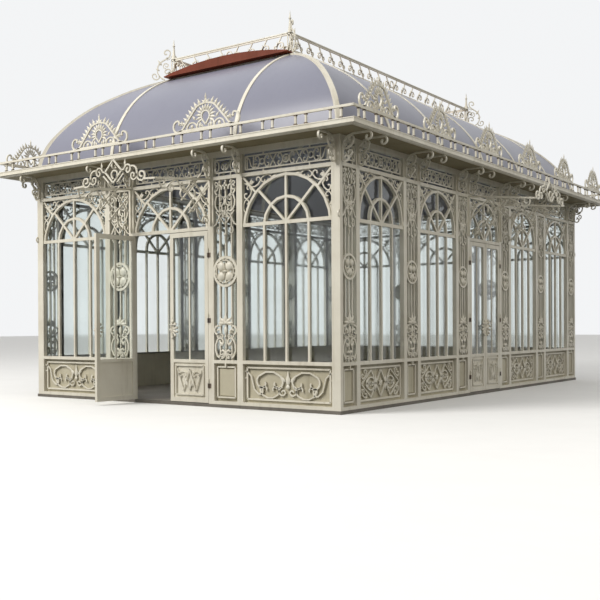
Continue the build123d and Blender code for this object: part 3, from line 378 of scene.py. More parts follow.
def forge(arcs, width, depth, step, face=1.0):
    """Square bar from the origin, heading up, through straight runs and tangent arcs.

    Each arc is (radius, turn in degrees, left positive); a straight run is (length, 0).
    A face below 1 narrows the front of the bar to that share of its width.
    """
    deselect()
    bpy.ops.mesh.primitive_plane_add(size=1)
    piece = edit_all()
    bpy.ops.transform.resize(value=(width, depth, 1))
    if face < 1:
        edit_where(piece, lambda place: place.y < 0)
        bpy.ops.transform.resize(value=(face, 1, 1))
        bpy.ops.mesh.select_all(action="SELECT")
    x, z, heading = 0.0, 0.0, pi / 2
    for size, turn in arcs:
        if turn == 0:
            extrude(size * cos(heading), 0, size * sin(heading))
            x += size * cos(heading)
            z += size * sin(heading)
            continue
        side = 1 if turn > 0 else -1
        centre_x = x - side * size * sin(heading)
        centre_z = z + side * size * cos(heading)
        bpy.ops.mesh.spin(
            steps=max(2, ceil(abs(turn) / step)),
            angle=radians(abs(turn)),
            center=(centre_x, 0, centre_z),
            axis=(0, side, 0),
        )
        heading += radians(turn)
        x = centre_x + side * size * sin(heading)
        z = centre_z - side * size * cos(heading)
    close_edit()
    return piece


def bend(x, z, heading, arcs, width=0.015, depth=0.015, step=30, face=1.0):
    """Forged bar from a point of the drawing, with its heading in degrees from the right."""
    return moved(tilted(forge(arcs, width, depth, step, face), heading - 90), x, z)


def rod(x0, z0, x1, z1, width=0.014, depth=0.014):
    """Straight bar between two points of the drawing."""
    heading = degrees(atan2(z1 - z0, x1 - x0))
    return bend(x0, z0, heading, [(hypot(x1 - x0, z1 - z0), 0)], width, depth)


def curl(x, z, radius, angle, way=1, width=0.014, depth=0.015):
    """Spiral that starts on a circle at an angle and winds inwards, to the left for way 1."""
    a = radians(angle)
    arcs = [(radius, 230 * way), (radius * 0.55, 210 * way)]
    return bend(x + radius * cos(a), z + radius * sin(a), angle + 90 * way, arcs, width, depth)


SCROLLS = {
    "C": [(0.075, 110), (0.125, 150), (0.42, 78), (0.125, 150), (0.075, 110)],
    "S": [(0.075, 110), (0.125, 150), (0.38, 66), (0.38, -66), (0.125, -150), (0.075, -110)],
}


def middle_turn(arcs):
    """Turn in degrees from the start of a bar to its middle."""
    total = sum(abs(turn) * size for size, turn in arcs)
    done, heading = 0.0, 0.0
    for size, turn in arcs:
        share = abs(turn) * size
        if done + share >= total / 2:
            return heading + turn * (total / 2 - done) / share
        done += share
        heading += turn
    return heading


def centre_line(arcs):
    """Height of a bar's centre line when its middle stands upright."""
    heading = pi / 2 - radians(middle_turn(arcs))
    z, heights = 0.0, [0.0]
    for size, turn in arcs:
        parts = ceil(abs(turn) / 6)
        part = radians(turn / parts)
        for _ in range(parts):
            z += 2 * size * sin(abs(part) / 2) * sin(heading + part / 2)
            heading += part
            heights.append(z)
    return max(heights) - min(heights)


def scroll(kind, x, z, length, tilt=0.0, flip=False, width=0.014, depth=0.015):
    """C or S scroll of a given length, centred at a point of the drawing.

    A C opens to the left, and to the right when flipped; the tilt turns it to the left.
    """
    shape = [(size, -turn if flip else turn) for size, turn in SCROLLS[kind]]
    scale = (length - width) / centre_line(shape)
    piece = forge([(size * scale, turn) for size, turn in shape], width, depth, 34)
    piece.data.transform(Matrix.Rotation(radians(middle_turn(shape)), 4, "Y"))
    xs = [v.co.x for v in piece.data.vertices]
    zs = [v.co.z for v in piece.data.vertices]
    moved(piece, -(min(xs) + max(xs)) / 2, -(min(zs) + max(zs)) / 2)
    return moved(tilted(piece, tilt), x, z)


def hoop(x, z, radius, width=0.014, depth=0.015, sides=18):
    """Closed ring of square bar: a circle inset, its middle taken out, and given depth."""
    deselect()
    bpy.ops.mesh.primitive_circle_add(
        vertices=sides, radius=radius + width / 2, fill_type="NGON", rotation=(pi / 2, 0, 0)
    )
    bpy.ops.object.transform_apply()
    piece = edit_all()
    bpy.ops.mesh.inset(thickness=width * cos(pi / sides), depth=0)
    bpy.ops.mesh.delete(type="ONLY_FACE")
    bpy.ops.mesh.select_all(action="SELECT")
    extrude(0, depth, 0)
    close_edit()
    return moved(piece, x, z, -depth / 2)


def leaf(x, z, length, tilt=0.0, width=0.34, depth=0.02):
    """Cast leaf that swells from its stem, then narrows to a point."""
    deselect()
    bpy.ops.mesh.primitive_uv_sphere_add(segments=8, ring_count=6, radius=0.5)
    piece = edit_all()
    bpy.ops.transform.resize(value=(width * length, depth, length))
    edit_where(piece, lambda place: place.z > 0.1 * length)
    bpy.ops.transform.resize(value=(0.42, 0.6, 1.25), center_override=(0, 0, 0.1 * length))
    bpy.ops.object.mode_set(mode="OBJECT")
    moved(piece, 0, length / 2)
    return moved(tilted(piece, tilt), x, z)


def bead(x, z, radius, depth=0.03):
    """Cast ball, a little taller than wide, and flattened into the wall."""
    deselect()
    bpy.ops.mesh.primitive_uv_sphere_add(segments=10, ring_count=6, radius=radius)
    piece = edit_all()
    bpy.ops.transform.resize(value=(1, depth / (2 * radius), 1.06))
    bpy.ops.object.mode_set(mode="OBJECT")
    return moved(piece, x, z)


def flower(x, z, radius, petals=6, depth=0.024):
    """Cast flower: petals around a raised eye."""
    pieces = [leaf(x, z, radius, 360 * n / petals, 0.5, depth * 0.8) for n in range(petals)]
    return join(pieces + [bead(x, z, radius * 0.3, depth * 1.3)])


# Ornament of the bays, drawn about the middle of the bay


def slim_frame(left, right, low, high, width=0.016, depth=0.016):
    return [
        rod(left, low, left, high, width, depth),
        rod(right, low, right, high, width, depth),
        rod(left, low, right, low, width, depth),
        rod(left, high, right, high, width, depth),
    ]


def frieze(half):
    """Slim frame on short stubs, filled from a middle ring out with crosses and scrolls."""
    low = HEADER_TOP + 0.040
    high = TOP_RAIL_LOW - 0.040
    middle = (low + high) / 2
    tall = high - low - 0.014
    edge = half - 0.040
    k = edge / 0.625
    foot, head = middle - tall / 2, middle + tall / 2
    right_side = [
        scroll("C", 0.088 * k, middle, tall, 0, True, 0.012),
        rod(0.150 * k, foot, 0.245 * k, head, 0.012),
        rod(0.150 * k, head, 0.245 * k, foot, 0.012),
        scroll("C", 0.292 * k, middle, tall, 0, False, 0.012),
        hoop(0.365 * k, middle, 0.036, 0.012, 0.015, 14),
        scroll("C", 0.438 * k, middle, tall, 0, True, 0.012),
        rod(0.500 * k, foot, 0.500 * k, head, 0.012),
        scroll("S", 0.550 * k, middle, tall, 0, False, 0.012),
        rod(0.596 * k, foot, 0.596 * k, head, 0.012),
        rod(half * 0.52, HEADER_TOP, half * 0.52, low, 0.014),
        rod(half * 0.52, high, half * 0.52, TOP_RAIL_LOW, 0.014),
    ]
    centre = [hoop(0, middle, 0.046, 0.013, 0.015, 16), flower(0, middle, 0.034)]
    return both_sides(right_side) + centre + slim_frame(-edge, edge, low, high)


def small_frieze(half):
    """Square frame over a narrow panel, with a round scroll in it."""
    low = HEADER_TOP + 0.040
    high = TOP_RAIL_LOW - 0.040
    middle = (low + high) / 2
    edge = half - 0.034
    right_side = [
        curl(0, middle, 0.055, 0, 1, 0.013),
        scroll("C", edge - 0.030, middle, high - low - 0.020, 0, True, 0.011),
        leaf(0, middle, 0.05, -60, 0.4),
        rod(half * 0.5, HEADER_TOP, half * 0.5, low, 0.013),
    ]
    return both_sides(right_side) + slim_frame(-edge, edge, low, high)


def arch_cover(radius, apex, sides):
    """Smooth moulding over an arch that the construction model draws with few sides."""
    slack = radius * (1 - cos(pi / sides))
    line = radius - ARCH_BAR / 2 - slack / 2
    start = degrees(asin((SPRING - (apex - radius)) / line))
    a = radians(start)
    return bend(
        line * cos(a), apex - radius + line * sin(a), start + 90,
        [(line, 180 - 2 * start)], ARCH_BAR + slack + 0.002, 0.038, 6, 0.62,
    )


def spandrels(half):
    """Scrolls, a casting and the fan's end in the two corners above an arch."""
    k = half / 0.665
    top = HEADER_LOW
    reach = half * (1 - 1 / sqrt(2))
    spot = (half - 0.105 * k, top - 0.105 * k)
    right_side = [
        rod(half - reach - 0.01, ARCH_APEX - reach - 0.01, half - 0.01, top - 0.01, 0.026, 0.026),
        scroll("C", half - 0.085 * k, top - 0.195 * k, 0.19 * k, 24, True, 0.015),
        scroll("C", half - 0.195 * k, top - 0.085 * k, 0.19 * k, 66, True, 0.015),
        scroll("C", half - 0.045 * k, top - 0.365 * k, 0.17 * k, 6, False, 0.013),
        scroll("C", half - 0.365 * k, top - 0.045 * k, 0.17 * k, 84, False, 0.013),
        leaf(*spot, 0.085 * k, 165, 0.5),
        leaf(*spot, 0.085 * k, -75, 0.5),
        leaf(*spot, 0.075 * k, 25, 0.5),
        leaf(*spot, 0.075 * k, 65, 0.5),
        bead(*spot, 0.020),
        leaf(half - 0.030 * k, top - 0.445 * k, 0.11 * k, 182, 0.24),
        leaf(half - 0.445 * k, top - 0.030 * k, 0.11 * k, 88, 0.24),
    ]
    return both_sides(right_side)


def window_ironwork(width):
    arches = [
        arch_cover(width / 2, ARCH_APEX, ARCH_SIDES),
        arch_cover(width / 4 + ARCH_BAR / 2, INNER_APEX, INNER_ARCH_SIDES),
    ]
    return join(frieze(width / 2) + spandrels(width / 2) + arches)


def rosette(half, lobed):
    """Ring with four cast lobes, or with two lobes over a hanging leaf."""
    k = half / 0.190
    z = ROSETTE_Z
    ring = moved(hoop(0, z, half * 0.958, half * 0.165, 0.046, 36), 0, 0, 0.016)
    if lobed:
        inside = [bead(sx * 0.064 * k, z + sz * 0.064 * k, 0.060 * k, 0.060)
                  for sx in (-1, 1) for sz in (-1, 1)]
        inside += [leaf(0, z, 0.062 * k, 90 * n, 0.4, 0.055) for n in range(4)]
        inside += [bead(0, z, 0.022 * k, 0.066), hoop(0, z, 0.140 * k, 0.011, 0.034, 28)]
        for n in range(16):
            a = radians(22.5 * n + 11)
            inside.append(bead(0.155 * k * cos(a), z + 0.155 * k * sin(a), 0.012 * k, 0.034))
        return [ring] + inside
    inside = both_sides([
        bead(0.058 * k, z + 0.062 * k, 0.052 * k, 0.05),
        hoop(0.066 * k, z - 0.055 * k, 0.036 * k, 0.014, 0.03, 14),
        leaf(0.012, z - 0.020 * k, 0.135 * k, -156, 0.42, 0.04),
    ])
    return [ring] + inside + [leaf(0, z - 0.02 * k, 0.15 * k, 180, 0.42, 0.05)]


def panel_ironwork(width, lobed):
    """Scroll groups at the head and foot of a narrow panel, and the rosette between."""
    half = width / 2
    k = half / 0.190
    right_side = [
        bead(0.088 * k, 2.862, 0.018, 0.03),
        scroll("C", 0.135 * k, 2.815, 0.12, 0, True, 0.013),
        scroll("C", 0.105 * k, 2.600, 0.235, -5, False, 0.017),
        scroll("C", 0.042 * k, 2.625, 0.125, 6, True, 0.013),
        scroll("S", 0.112 * k, 2.395, 0.255, 14, True, 0.016),
        rod(0.150 * k, 2.500, 0.010 * k, 2.330, 0.013),
        leaf(0.008, 2.470, 0.085, -48, 0.42),
        leaf(0.008, 2.455, 0.080, -128, 0.42),
        scroll("C", 0.110 * k, 2.255, 0.10, 0, False, 0.013),
        leaf(0.010 * k, 1.075, 0.110, -50, 0.50, 0.034),
        leaf(0.010 * k, 1.072, 0.105, -88, 0.50, 0.034),
        leaf(0.060 * k, 1.095, 0.060, -150, 0.5, 0.03),
        curl(0.122 * k, 0.985, 0.056, 100, -1, 0.021, 0.02),
        rod(0.010 * k, 1.070, 0.100 * k, 1.045, 0.016),
        scroll("C", 0.100 * k, 0.760, 0.275, 0, False, 0.021, 0.02),
        leaf(0.045 * k, 0.780, 0.090, -40, 0.5, 0.028),
        leaf(0.060 * k, 0.740, 0.080, 130, 0.5, 0.028),
        curl(0.058 * k, 0.668, 0.042, 80, 1, 0.016, 0.02),
        scroll("C", 0.090 * k, 0.915, 0.105, 90, False, 0.015, 0.02),
    ]
    middle = [
        rod(0, 2.770, 0, 2.862, 0.022, 0.022),
        rod(-0.038 * k, 2.822, 0.038 * k, 2.822, 0.022, 0.022),
        scroll("C", 0, 2.752, 0.345 * k, 90, True, 0.018),
        leaf(0, 2.560, 0.105, 0, 0.36, 0.026),
        leaf(0, 2.520, 0.075, 180, 0.36, 0.026),
        bead(0, 2.462, 0.024, 0.034),
        bead(0, 2.200, 0.022, 0.034),
        leaf(0, 2.180, 0.080, 180, 0.3, 0.026),
        leaf(0, 1.075, 0.130, 0, 0.42, 0.032),
        bead(0, 1.078, 0.026, 0.04),
        leaf(0, 1.035, 0.125, 180, 0.44, 0.032),
        bead(0, 0.900, 0.016, 0.03),
        leaf(0, 0.640, 0.110, 0, 0.36, 0.026),
        rod(0, DADO_LOW - LOWER_EDGE, 0, DADO_LOW, 0.018, 0.024),
    ]
    edge = half - LOWER_EDGE
    border = join(slim_frame(-edge, edge, 0.130, DADO_LOW - LOWER_EDGE, 0.018, 0.018))
    pieces = both_sides(right_side) + middle + rosette(half, lobed) + small_frieze(half)
    return join(pieces + [moved(border, 0, 0, 0.016)])


def lower_panel(half, right_side, centre):
    """Drawing of a lower panel in its moulded frame."""
    border = slim_frame(-half, half, LOWER_BASE + LOWER_EDGE, DADO_LOW - LOWER_EDGE, 0.022, 0.02)
    return join(both_sides(right_side) + centre + border)


def wide_scrolls(width):
    """Long lying scrolls, as under the front windows."""
    half = width / 2 - LOWER_EDGE
    k = half / 0.62
    middle = LOWER_MIDDLE
    right_side = [
        scroll("C", 0.270 * k, middle + 0.050, 0.42 * k, 90, False, 0.020, 0.02),
        scroll("C", 0.270 * k, middle - 0.100, 0.30 * k, 90, True, 0.016, 0.02),
        scroll("S", 0.535 * k, middle + 0.010, 0.30, 0, False, 0.017, 0.02),
        curl(0.080 * k, middle - 0.085, 0.050, 90, -1, 0.016, 0.02),
        leaf(0.040 * k, middle + 0.030, 0.12, -50, 0.4, 0.022),
        leaf(0.430 * k, middle - 0.060, 0.11, 150, 0.4, 0.022),
    ]
    centre = [leaf(0, middle - 0.02, 0.17, 0, 0.4, 0.024), bead(0, middle - 0.03, 0.028, 0.03)]
    return lower_panel(half, right_side, centre)


def crossing_scrolls(width):
    """Crossing bars, leaves and scrolls, as under the side windows."""
    half = width / 2 - LOWER_EDGE
    k = half / 0.50
    middle = LOWER_MIDDLE
    tall = (DADO_LOW - LOWER_BASE) / 2 - LOWER_EDGE
    low, high = middle - tall * 0.86, middle + tall * 0.86
    right_side = [
        rod(0, high, 0.235 * k, low, 0.016, 0.018),
        rod(0, low, 0.235 * k, high, 0.016, 0.018),
        rod(0.235 * k, high, 0.46 * k, middle, 0.014, 0.018),
        rod(0.235 * k, low, 0.46 * k, middle, 0.014, 0.018),
        scroll("C", 0.235 * k, middle + 0.040, 0.17, 90, False, 0.016, 0.018),
        scroll("C", 0.235 * k, middle - 0.040, 0.17, 90, True, 0.016, 0.018),
        scroll("C", 0.400 * k, middle + tall * 0.60, 0.15, 50, True, 0.015, 0.018),
        scroll("C", 0.400 * k, middle - tall * 0.60, 0.15, 130, True, 0.015, 0.018),
        leaf(0.118 * k, middle, 0.10, 0, 0.42, 0.022),
        leaf(0.118 * k, middle, 0.10, 180, 0.42, 0.022),
        leaf(0.350 * k, middle, 0.09, 35, 0.42, 0.022),
        leaf(0.350 * k, middle, 0.09, 145, 0.42, 0.022),
    ]
    return lower_panel(half, right_side, [flower(0, middle, 0.055, 6, 0.022)])


def moulded_panel(width):
    """Raised field with a stepped edge, for the foot of a narrow panel."""
    inset = 0.040
    deselect()
    bpy.ops.mesh.primitive_plane_add(size=1, rotation=(pi / 2, 0, 0))
    bpy.ops.object.transform_apply()
    piece = edit_all()
    bpy.ops.transform.resize(value=(width - 2 * inset, 1, DADO_LOW - LOWER_BASE - 2 * inset))
    extrude(0, -0.020, 0)
    for lip, step in ((0.018, 0.012), (0.014, -0.012)):
        bpy.ops.mesh.inset(thickness=lip, depth=0)
        bpy.ops.transform.translate(value=(0, step, 0))
    close_edit()
    return moved(piece, 0, LOWER_MIDDLE, 0.010)


# Walls: the drawings are copied to each bay

FACES = {
    "front": Matrix.Translation((0, -HALF_LENGTH, 0)),
    "right": Matrix.Translation((HALF_WIDTH, 0, 0)) @ Matrix.Rotation(pi / 2, 4, "Z"),
    "back": Matrix.Translation((0, HALF_LENGTH, 0)) @ Matrix.Rotation(pi, 4, "Z"),
    "left": Matrix.Translation((-HALF_WIDTH, 0, 0)) @ Matrix.Rotation(-pi / 2, 4, "Z"),
}
SQUARE_TO_WALL = Matrix.Rotation(-pi / 2, 4, "Z")


def finish(piece, name, material, body="building", smooth=True):
    """Name, paint and body of a whole piece."""
    join([piece], name)
    piece.data.materials.clear()
    piece.data.materials.append(material)
    if smooth:
        bpy.ops.object.shade_smooth_by_angle(angle=SMOOTH_BELOW)
    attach(piece, body)
    return piece


def place(drawing, face, x, depth):
    return duplicate(drawing, FACES[face] @ Matrix.Translation((x, depth, 0)))


def stand_out(drawing, face, x):
    """Copy of a drawing turned square to the wall, its left edge on the wall."""
    return duplicate(drawing, FACES[face] @ Matrix.Translation((x, 0, 0)) @ SQUARE_TO_WALL)


def clear_away(drawings):
    for drawing in drawings:
        bpy.data.objects.remove(drawing)


def is_end(face):
    return face in ("front", "back")


END_DRAWINGS = [
    window_ironwork(FRONT_WINDOW),
    window_ironwork(FRONT_DOOR),
    panel_ironwork(FRONT_PANEL, True),
    wide_scrolls(FRONT_WINDOW),
    wide_scrolls(FRONT_DOOR),
    moulded_panel(FRONT_PANEL),
]
SIDE_DRAWINGS = [
    window_ironwork(SIDE_WINDOW),
    window_ironwork(SIDE_DOOR),
    panel_ironwork(SIDE_PANEL, False),
    crossing_scrolls(SIDE_WINDOW),
    crossing_scrolls(SIDE_DOOR),
    moulded_panel(SIDE_PANEL),
]

for face in FACES:
    windows, panels = (FRONT_WINDOWS, FRONT_PANELS) if is_end(face) else (SIDE_WINDOWS, SIDE_PANELS)
    upper, middle, narrow, lower, closed, pedestal = END_DRAWINGS if is_end(face) else SIDE_DRAWINGS
    scrolls = [place(upper, face, x, IRON_DEPTH) for x in windows]
    scrolls.append(place(middle, face, 0, IRON_DEPTH))
    finish(join(scrolls), face + "_arch_scrolls", IVORY)
    strips = [place(narrow, face, x, PANEL_DEPTH) for x in panels]
    finish(join(strips), face + "_panel_scrolls", IVORY)
    below = [place(lower, face, x, LOWER_DEPTH) for x in windows]
    if face in ("back", "left"):
        below.append(place(closed, face, 0, LOWER_DEPTH))
    finish(join(below), face + "_lower_scrolls", IVORY)
    feet = [place(pedestal, face, x, LOWER_DEPTH) for x in panels]
    finish(join(feet), face + "_pedestals", BEIGE, smooth=False)

clear_away(END_DRAWINGS + SIDE_DRAWINGS)


# Scroll brackets under the eaves, one at every post and square to the wall

FRONT_POSTS = [s * x for s in (-1, 1) for x in (0.715, 1.205, 2.620)]
SIDE_POSTS = [s * y for s in (-1, 1) for y in (0.585, 0.965, 2.135, 2.515, 3.685, 4.035)]


def eave_bracket(reach):
    """Bar up the post and out along the soffit, with a curl at each end and a brace."""
    line = SOFFIT_LOW - 0.009
    out = 0.145
    return join([
        bend(
            0.012, line - 0.24, 90,
            [(0.24 - out, 0), (out, -90), (reach - out - 0.060, 0), (0.046, -190), (0.026, -150)],
            0.018, 0.026,
        ),
        bend(0.012, line - 0.24, 270, [(0.030, 0), (0.042, 190), (0.024, 150)], 0.018, 0.026),
        scroll("C", 0.098, line - 0.098, 0.19, -45, False, 0.016, 0.020),
        curl(0.100, line - 0.215, 0.040, 170, 1, 0.015, 0.020),
        leaf(0.060, line - 0.170, 0.12, -58, 0.36, 0.030),
    ])


front_bracket = eave_bracket(0.355)
side_bracket = eave_bracket(0.405)
brackets = []
for face in FACES:
    drawing = front_bracket if is_end(face) else side_bracket
    posts = FRONT_POSTS if is_end(face) else SIDE_POSTS
    brackets += [stand_out(drawing, face, x) for x in posts]
finish(join(brackets), "eave_brackets", IVORY)
clear_away([front_bracket, side_bracket])


# Lips along the gutter's face

lips = []
for face in FACES:
    half, line = (GUTTER_HIGH.x, GUTTER_HIGH.y) if is_end(face) else (GUTTER_HIGH.y, GUTTER_HIGH.x)
    wall = HALF_LENGTH if is_end(face) else HALF_WIDTH
    for z in (GUTTER_HIGH.z - 0.006, GUTTER_LOW.z + 0.024):
        lip = rod(-half - 0.004, z, half + 0.004, z, 0.012, 0.010)
        lips.append(place(lip, face, 0, wall - line))
        clear_away([lip])
finish(join(lips), "gutter_lips", IVORY, smooth=False)


# Low rail on paired balusters, each with a dark block at its head and foot: painted shade where shade
# falls at the balusters' ends

RAIL_TOP = RAIL_HIGH.z
RAIL_FOOT = RAIL_LOW.z
RAIL_BAR = 0.028
RAIL_UNDER = RAIL_TOP - RAIL_BAR
END_PAIRS = [0.4765 * n for n in range(-6, 7)]
SIDE_PAIRS = [0.3880 * n for n in range(-11, 12)]
END_RAIL_OUT = 0.358
SIDE_RAIL_OUT = 0.408


def upright(x, low, high, width):
    return rod(x, low, x, high, width, width)


def rail_line(face):
    """Depth of the rail's centre line, which stands out over the eaves."""
    return -END_RAIL_OUT if is_end(face) else -SIDE_RAIL_OUT


rails = []
shade_blocks = []
for face in FACES:
    spread = 0.0725 if is_end(face) else 0.0625
    reach = HALF_WIDTH + SIDE_RAIL_OUT if is_end(face) else HALF_LENGTH + END_RAIL_OUT
    middle = RAIL_TOP - RAIL_BAR / 2
    bar = rod(-reach - RAIL_BAR / 2, middle, reach + RAIL_BAR / 2, middle, RAIL_BAR, RAIL_BAR)
    pair = join([upright(x, RAIL_FOOT, RAIL_UNDER, 0.022) for x in (-spread, spread)])
    # Dark blocks at the foot and head of each baluster: painted shade, in the dark iron paint.
    feet = [upright(x, RAIL_FOOT, RAIL_FOOT + 0.018, 0.036) for x in (-spread, spread)]
    heads = [upright(x, RAIL_UNDER - 0.014, RAIL_UNDER, 0.034) for x in (-spread, spread)]
    shade_block_pair = join(feet + heads)
    rails.append(place(bar, face, 0, rail_line(face)))
    for x in END_PAIRS if is_end(face) else SIDE_PAIRS:
        rails.append(place(pair, face, x, rail_line(face)))
        shade_blocks.append(place(shade_block_pair, face, x, rail_line(face)))
    clear_away([bar, pair, shade_block_pair])
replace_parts(finish(join(rails), "paired_rail", IVORY, smooth=False), "low_rail")
finish(join(shade_blocks), "rail_painted_shade_blocks", DARK_IRON_AND_SHADE, smooth=False)


# Crests of forged scrolls and cast leaves on the low rail


def crest():
    """Pointed arch of bar with a curl at each end, a wreath of cast leaves and a drop in it."""
    flank = [
        bend(
            -0.435, 0.105, 80,
            [(0.032, 110), (0.074, 175), (0.14, 50), (0.3, -8), (0.24, 0), (0.12, -37), (0.094, 0)],
            0.022, 0.020, 20,
        ),
        bend(-0.306, 0.010, 88, [(0.084, -172)], 0.018, 0.018, 22),
        bead(-0.222, 0.040, 0.024, 0.026),
        flower(-0.390, 0.095, 0.042, 5),
        bead(-0.438, 0.098, 0.018, 0.026),
        leaf(-0.335, 0.085, 0.060, 70, 0.6),
        leaf(-0.150, 0.015, 0.085, -20, 0.5),
        leaf(-0.090, 0.010, 0.080, -2, 0.5),
        leaf(-0.045, 0.010, 0.055, 18, 0.5),
        leaf(-0.170, 0.120, 0.070, 40, 0.55),
        leaf(0, 0.305, 0.075, 52, 0.52),
    ]
    for x, z, tilt in (
        (-0.300, 0.112, 50), (-0.264, 0.152, 46), (-0.226, 0.192, 42),
        (-0.188, 0.232, 38), (-0.146, 0.268, 32), (-0.092, 0.294, 24),
    ):
        flank.append(leaf(x, z, 0.082, tilt, 0.58, 0.022))
    drop = [
        bend(0, 0.045, 128.9, [(0.0817, 0), (0.066, -257.8), (0.0817, 0)], 0.018, 0.020, 22),
        leaf(0, 0.305, 0.090, 0, 0.50),
        leaf(0, 0.350, 0.080, 0, 0.36),
    ]
    for n in range(13):
        a = 20 * n - 30
        out_x, out_z = cos(radians(a)), sin(radians(a))
        drop.append(leaf(0.072 * out_x, 0.150 + 0.072 * out_z, 0.094, a - 90, 0.38, 0.022))
    foot = [rod(-0.460, 0.008, 0.460, 0.008, 0.016, 0.020)]
    return join(both_sides(flank) + drop + foot)


END_CRESTS = [-0.95, 0.95]
SIDE_CRESTS = [s * y for s in (-1, 1) for y in (0.775, 2.325, 3.875)]
SIDE_CREST_SHARE = 0.83
crest_drawing = crest()
crests = []
for face in FACES:
    share = Matrix.Diagonal((1 if is_end(face) else SIDE_CREST_SHARE, 1, 1, 1))
    for x in END_CRESTS if is_end(face) else SIDE_CRESTS:
        spot = FACES[face] @ Matrix.Translation((x, rail_line(face), RAIL_TOP)) @ share
        crests.append(duplicate(crest_drawing, spot))
clear_away([crest_drawing])
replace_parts(finish(join(crests), "forged_crests", IVORY), "eave_crests")


# Ridge: cresting of crooks, spires on open posts, and wings on the hips

POST_X = 1.075
POST_Y = 2.815
CRESTING_LOW = 4.822
CRESTING_HIGH = 5.034
CROOK_PITCH = 0.28
CROOK_MARGIN = 0.06
WING_X = 0.786
WING_Y = 0.619


def crook():
    """Leaning bar between the rails, with a curl that springs from it and hangs over."""
    tall = CRESTING_HIGH - CRESTING_LOW
    return join([
        rod(0, 0, tall * 0.6, tall),
        bend(0.040, 0.066, 62, [(0.030, 0), (0.058, -100), (0.036, -150), (0.022, -160)], 0.015, 0.014),
        curl(0.020, 0.060, 0.026, 250, -1, 0.012, 0.012),
        leaf(0.050, 0.080, 0.060, 5, 0.4),
    ])


def cresting_side(half):
    """Crooks that lean outwards from the middle of one side of the ridge."""
    shape = crook()
    count = round((half - CROOK_MARGIN) / CROOK_PITCH)
    pitch = (half - CROOK_MARGIN) / count
    right_side = [
        duplicate(shape, Matrix.Translation(((n + 0.18) * pitch, 0, CRESTING_LOW))) for n in range(count)
    ]
    clear_away([shape])
    both = both_sides(right_side)
    for z, wide, deep in (
        (CRESTING_LOW, 0.024, 0.014), (CRESTING_HIGH, 0.024, 0.016), (CRESTING_HIGH + 0.019, 0.014, 0.030),
    ):
        both.append(rod(-half, z, half, z, wide, deep))
    both.append(hoop(0, (CRESTING_LOW + CRESTING_HIGH) / 2, 0.052))
    return join(both)


def lattice_post():
    """Open square post: four legs, plates at its foot and head, and scrolls in its sides."""
    legs = []
    for x in (-0.024, 0.024):
        for y in (-0.024, 0.024):
            legs.append(moved(rod(x, CURB_TOP, x, CRESTING_HIGH + 0.012, 0.012, 0.012), 0, 0, y))
    plates = [rod(-0.030, z, 0.030, z, 0.020, 0.060) for z in (CURB_TOP + 0.010, CRESTING_HIGH)]
    filling = [scroll("S", 0, (CURB_TOP + CRESTING_HIGH) / 2, 0.19, 0, False, 0.010, 0.048)]
    return legs + plates + filling


def lathe(profile, steps=14):
    """Turned piece: a profile of (radius, height) points spun about the upright axis."""
    deselect()
    bpy.ops.mesh.primitive_circle_add(vertices=steps, radius=profile[0][0], fill_type="NGON")
    piece = edit_all()
    for (wide, low), (narrow, high) in zip(profile, profile[1:]):
        extrude(0, 0, high - low)
        bpy.ops.transform.resize(value=(narrow / wide, narrow / wide, 1))
    close_edit()
    return moved(piece, 0, profile[0][1])


SPIRE = [
    (0.042, 5.046), (0.034, 5.062), (0.026, 5.095), (0.020, 5.140), (0.015, 5.200),
    (0.012, 5.235), (0.022, 5.248), (0.012, 5.262), (0.008, 5.300), (0.002, 5.350),
]


def wing():
    """Scroll wing beside a corner post, with x running outward from the post."""
    return join([
        bend(
            0.105, 5.135, 300,
            [(0.020, 150), (0.045, 180), (0.09, 60), (0.0875, 0), (0.154, -120), (0.07, -30)],
            0.018, 0.016, 20,
        ),
        bend(0.216, 4.800, 270, [(0.054, 180), (0.03, 180), (0.018, 60)], 0.016, 0.016, 24),
        bend(0.045, 4.800, 90, [(0.06, 0), (0.045, -180), (0.022, -160)], 0.016, 0.016, 24),
        leaf(0.185, 4.960, 0.095, -35, 0.42, 0.022),
        leaf(0.215, 4.880, 0.070, -60, 0.42, 0.022),
        curl(0.120, 4.950, 0.040, 270, 1, 0.014, 0.014),
    ])


cresting = []
for turn in (0, 90, 180, -90):
    half, line = (POST_X, POST_Y) if turn in (0, 180) else (POST_Y, POST_X)
    side = cresting_side(half)
    about = Matrix.Rotation(radians(turn), 4, "Z")
    cresting.append(duplicate(side, about @ Matrix.Translation((0, -line, 0))))
    clear_away([side])
post = join(lattice_post())
spire = join([lathe(SPIRE)] + both_sides([scroll("S", 0.048, 5.075, 0.11, 22, True, 0.009, 0.010)]))
wing_drawing = wing()
spires = []
wings = []
for sx in (-1, 1):
    for sy in (-1, 1):
        at_corner = Matrix.Translation((sx * POST_X, sy * POST_Y, 0))
        cresting.append(duplicate(post, at_corner))
        spires.append(duplicate(spire, at_corner @ Matrix.Rotation(radians(sx * sy * 45), 4, "Z")))
        outward = atan2(sy * WING_Y, sx * WING_X)
        wings.append(duplicate(wing_drawing, at_corner @ Matrix.Rotation(outward, 4, "Z")))
clear_away([post, spire, wing_drawing])
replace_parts(finish(join(cresting), "crook_cresting", IVORY), "ridge_cresting")
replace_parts(finish(join(spires), "turned_spires", IVORY), "ridge_finials")
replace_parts(finish(join(wings), "forged_wings", IVORY), "ridge_wings")


# Porch: scrolls on the brackets, and the ornamental fronts


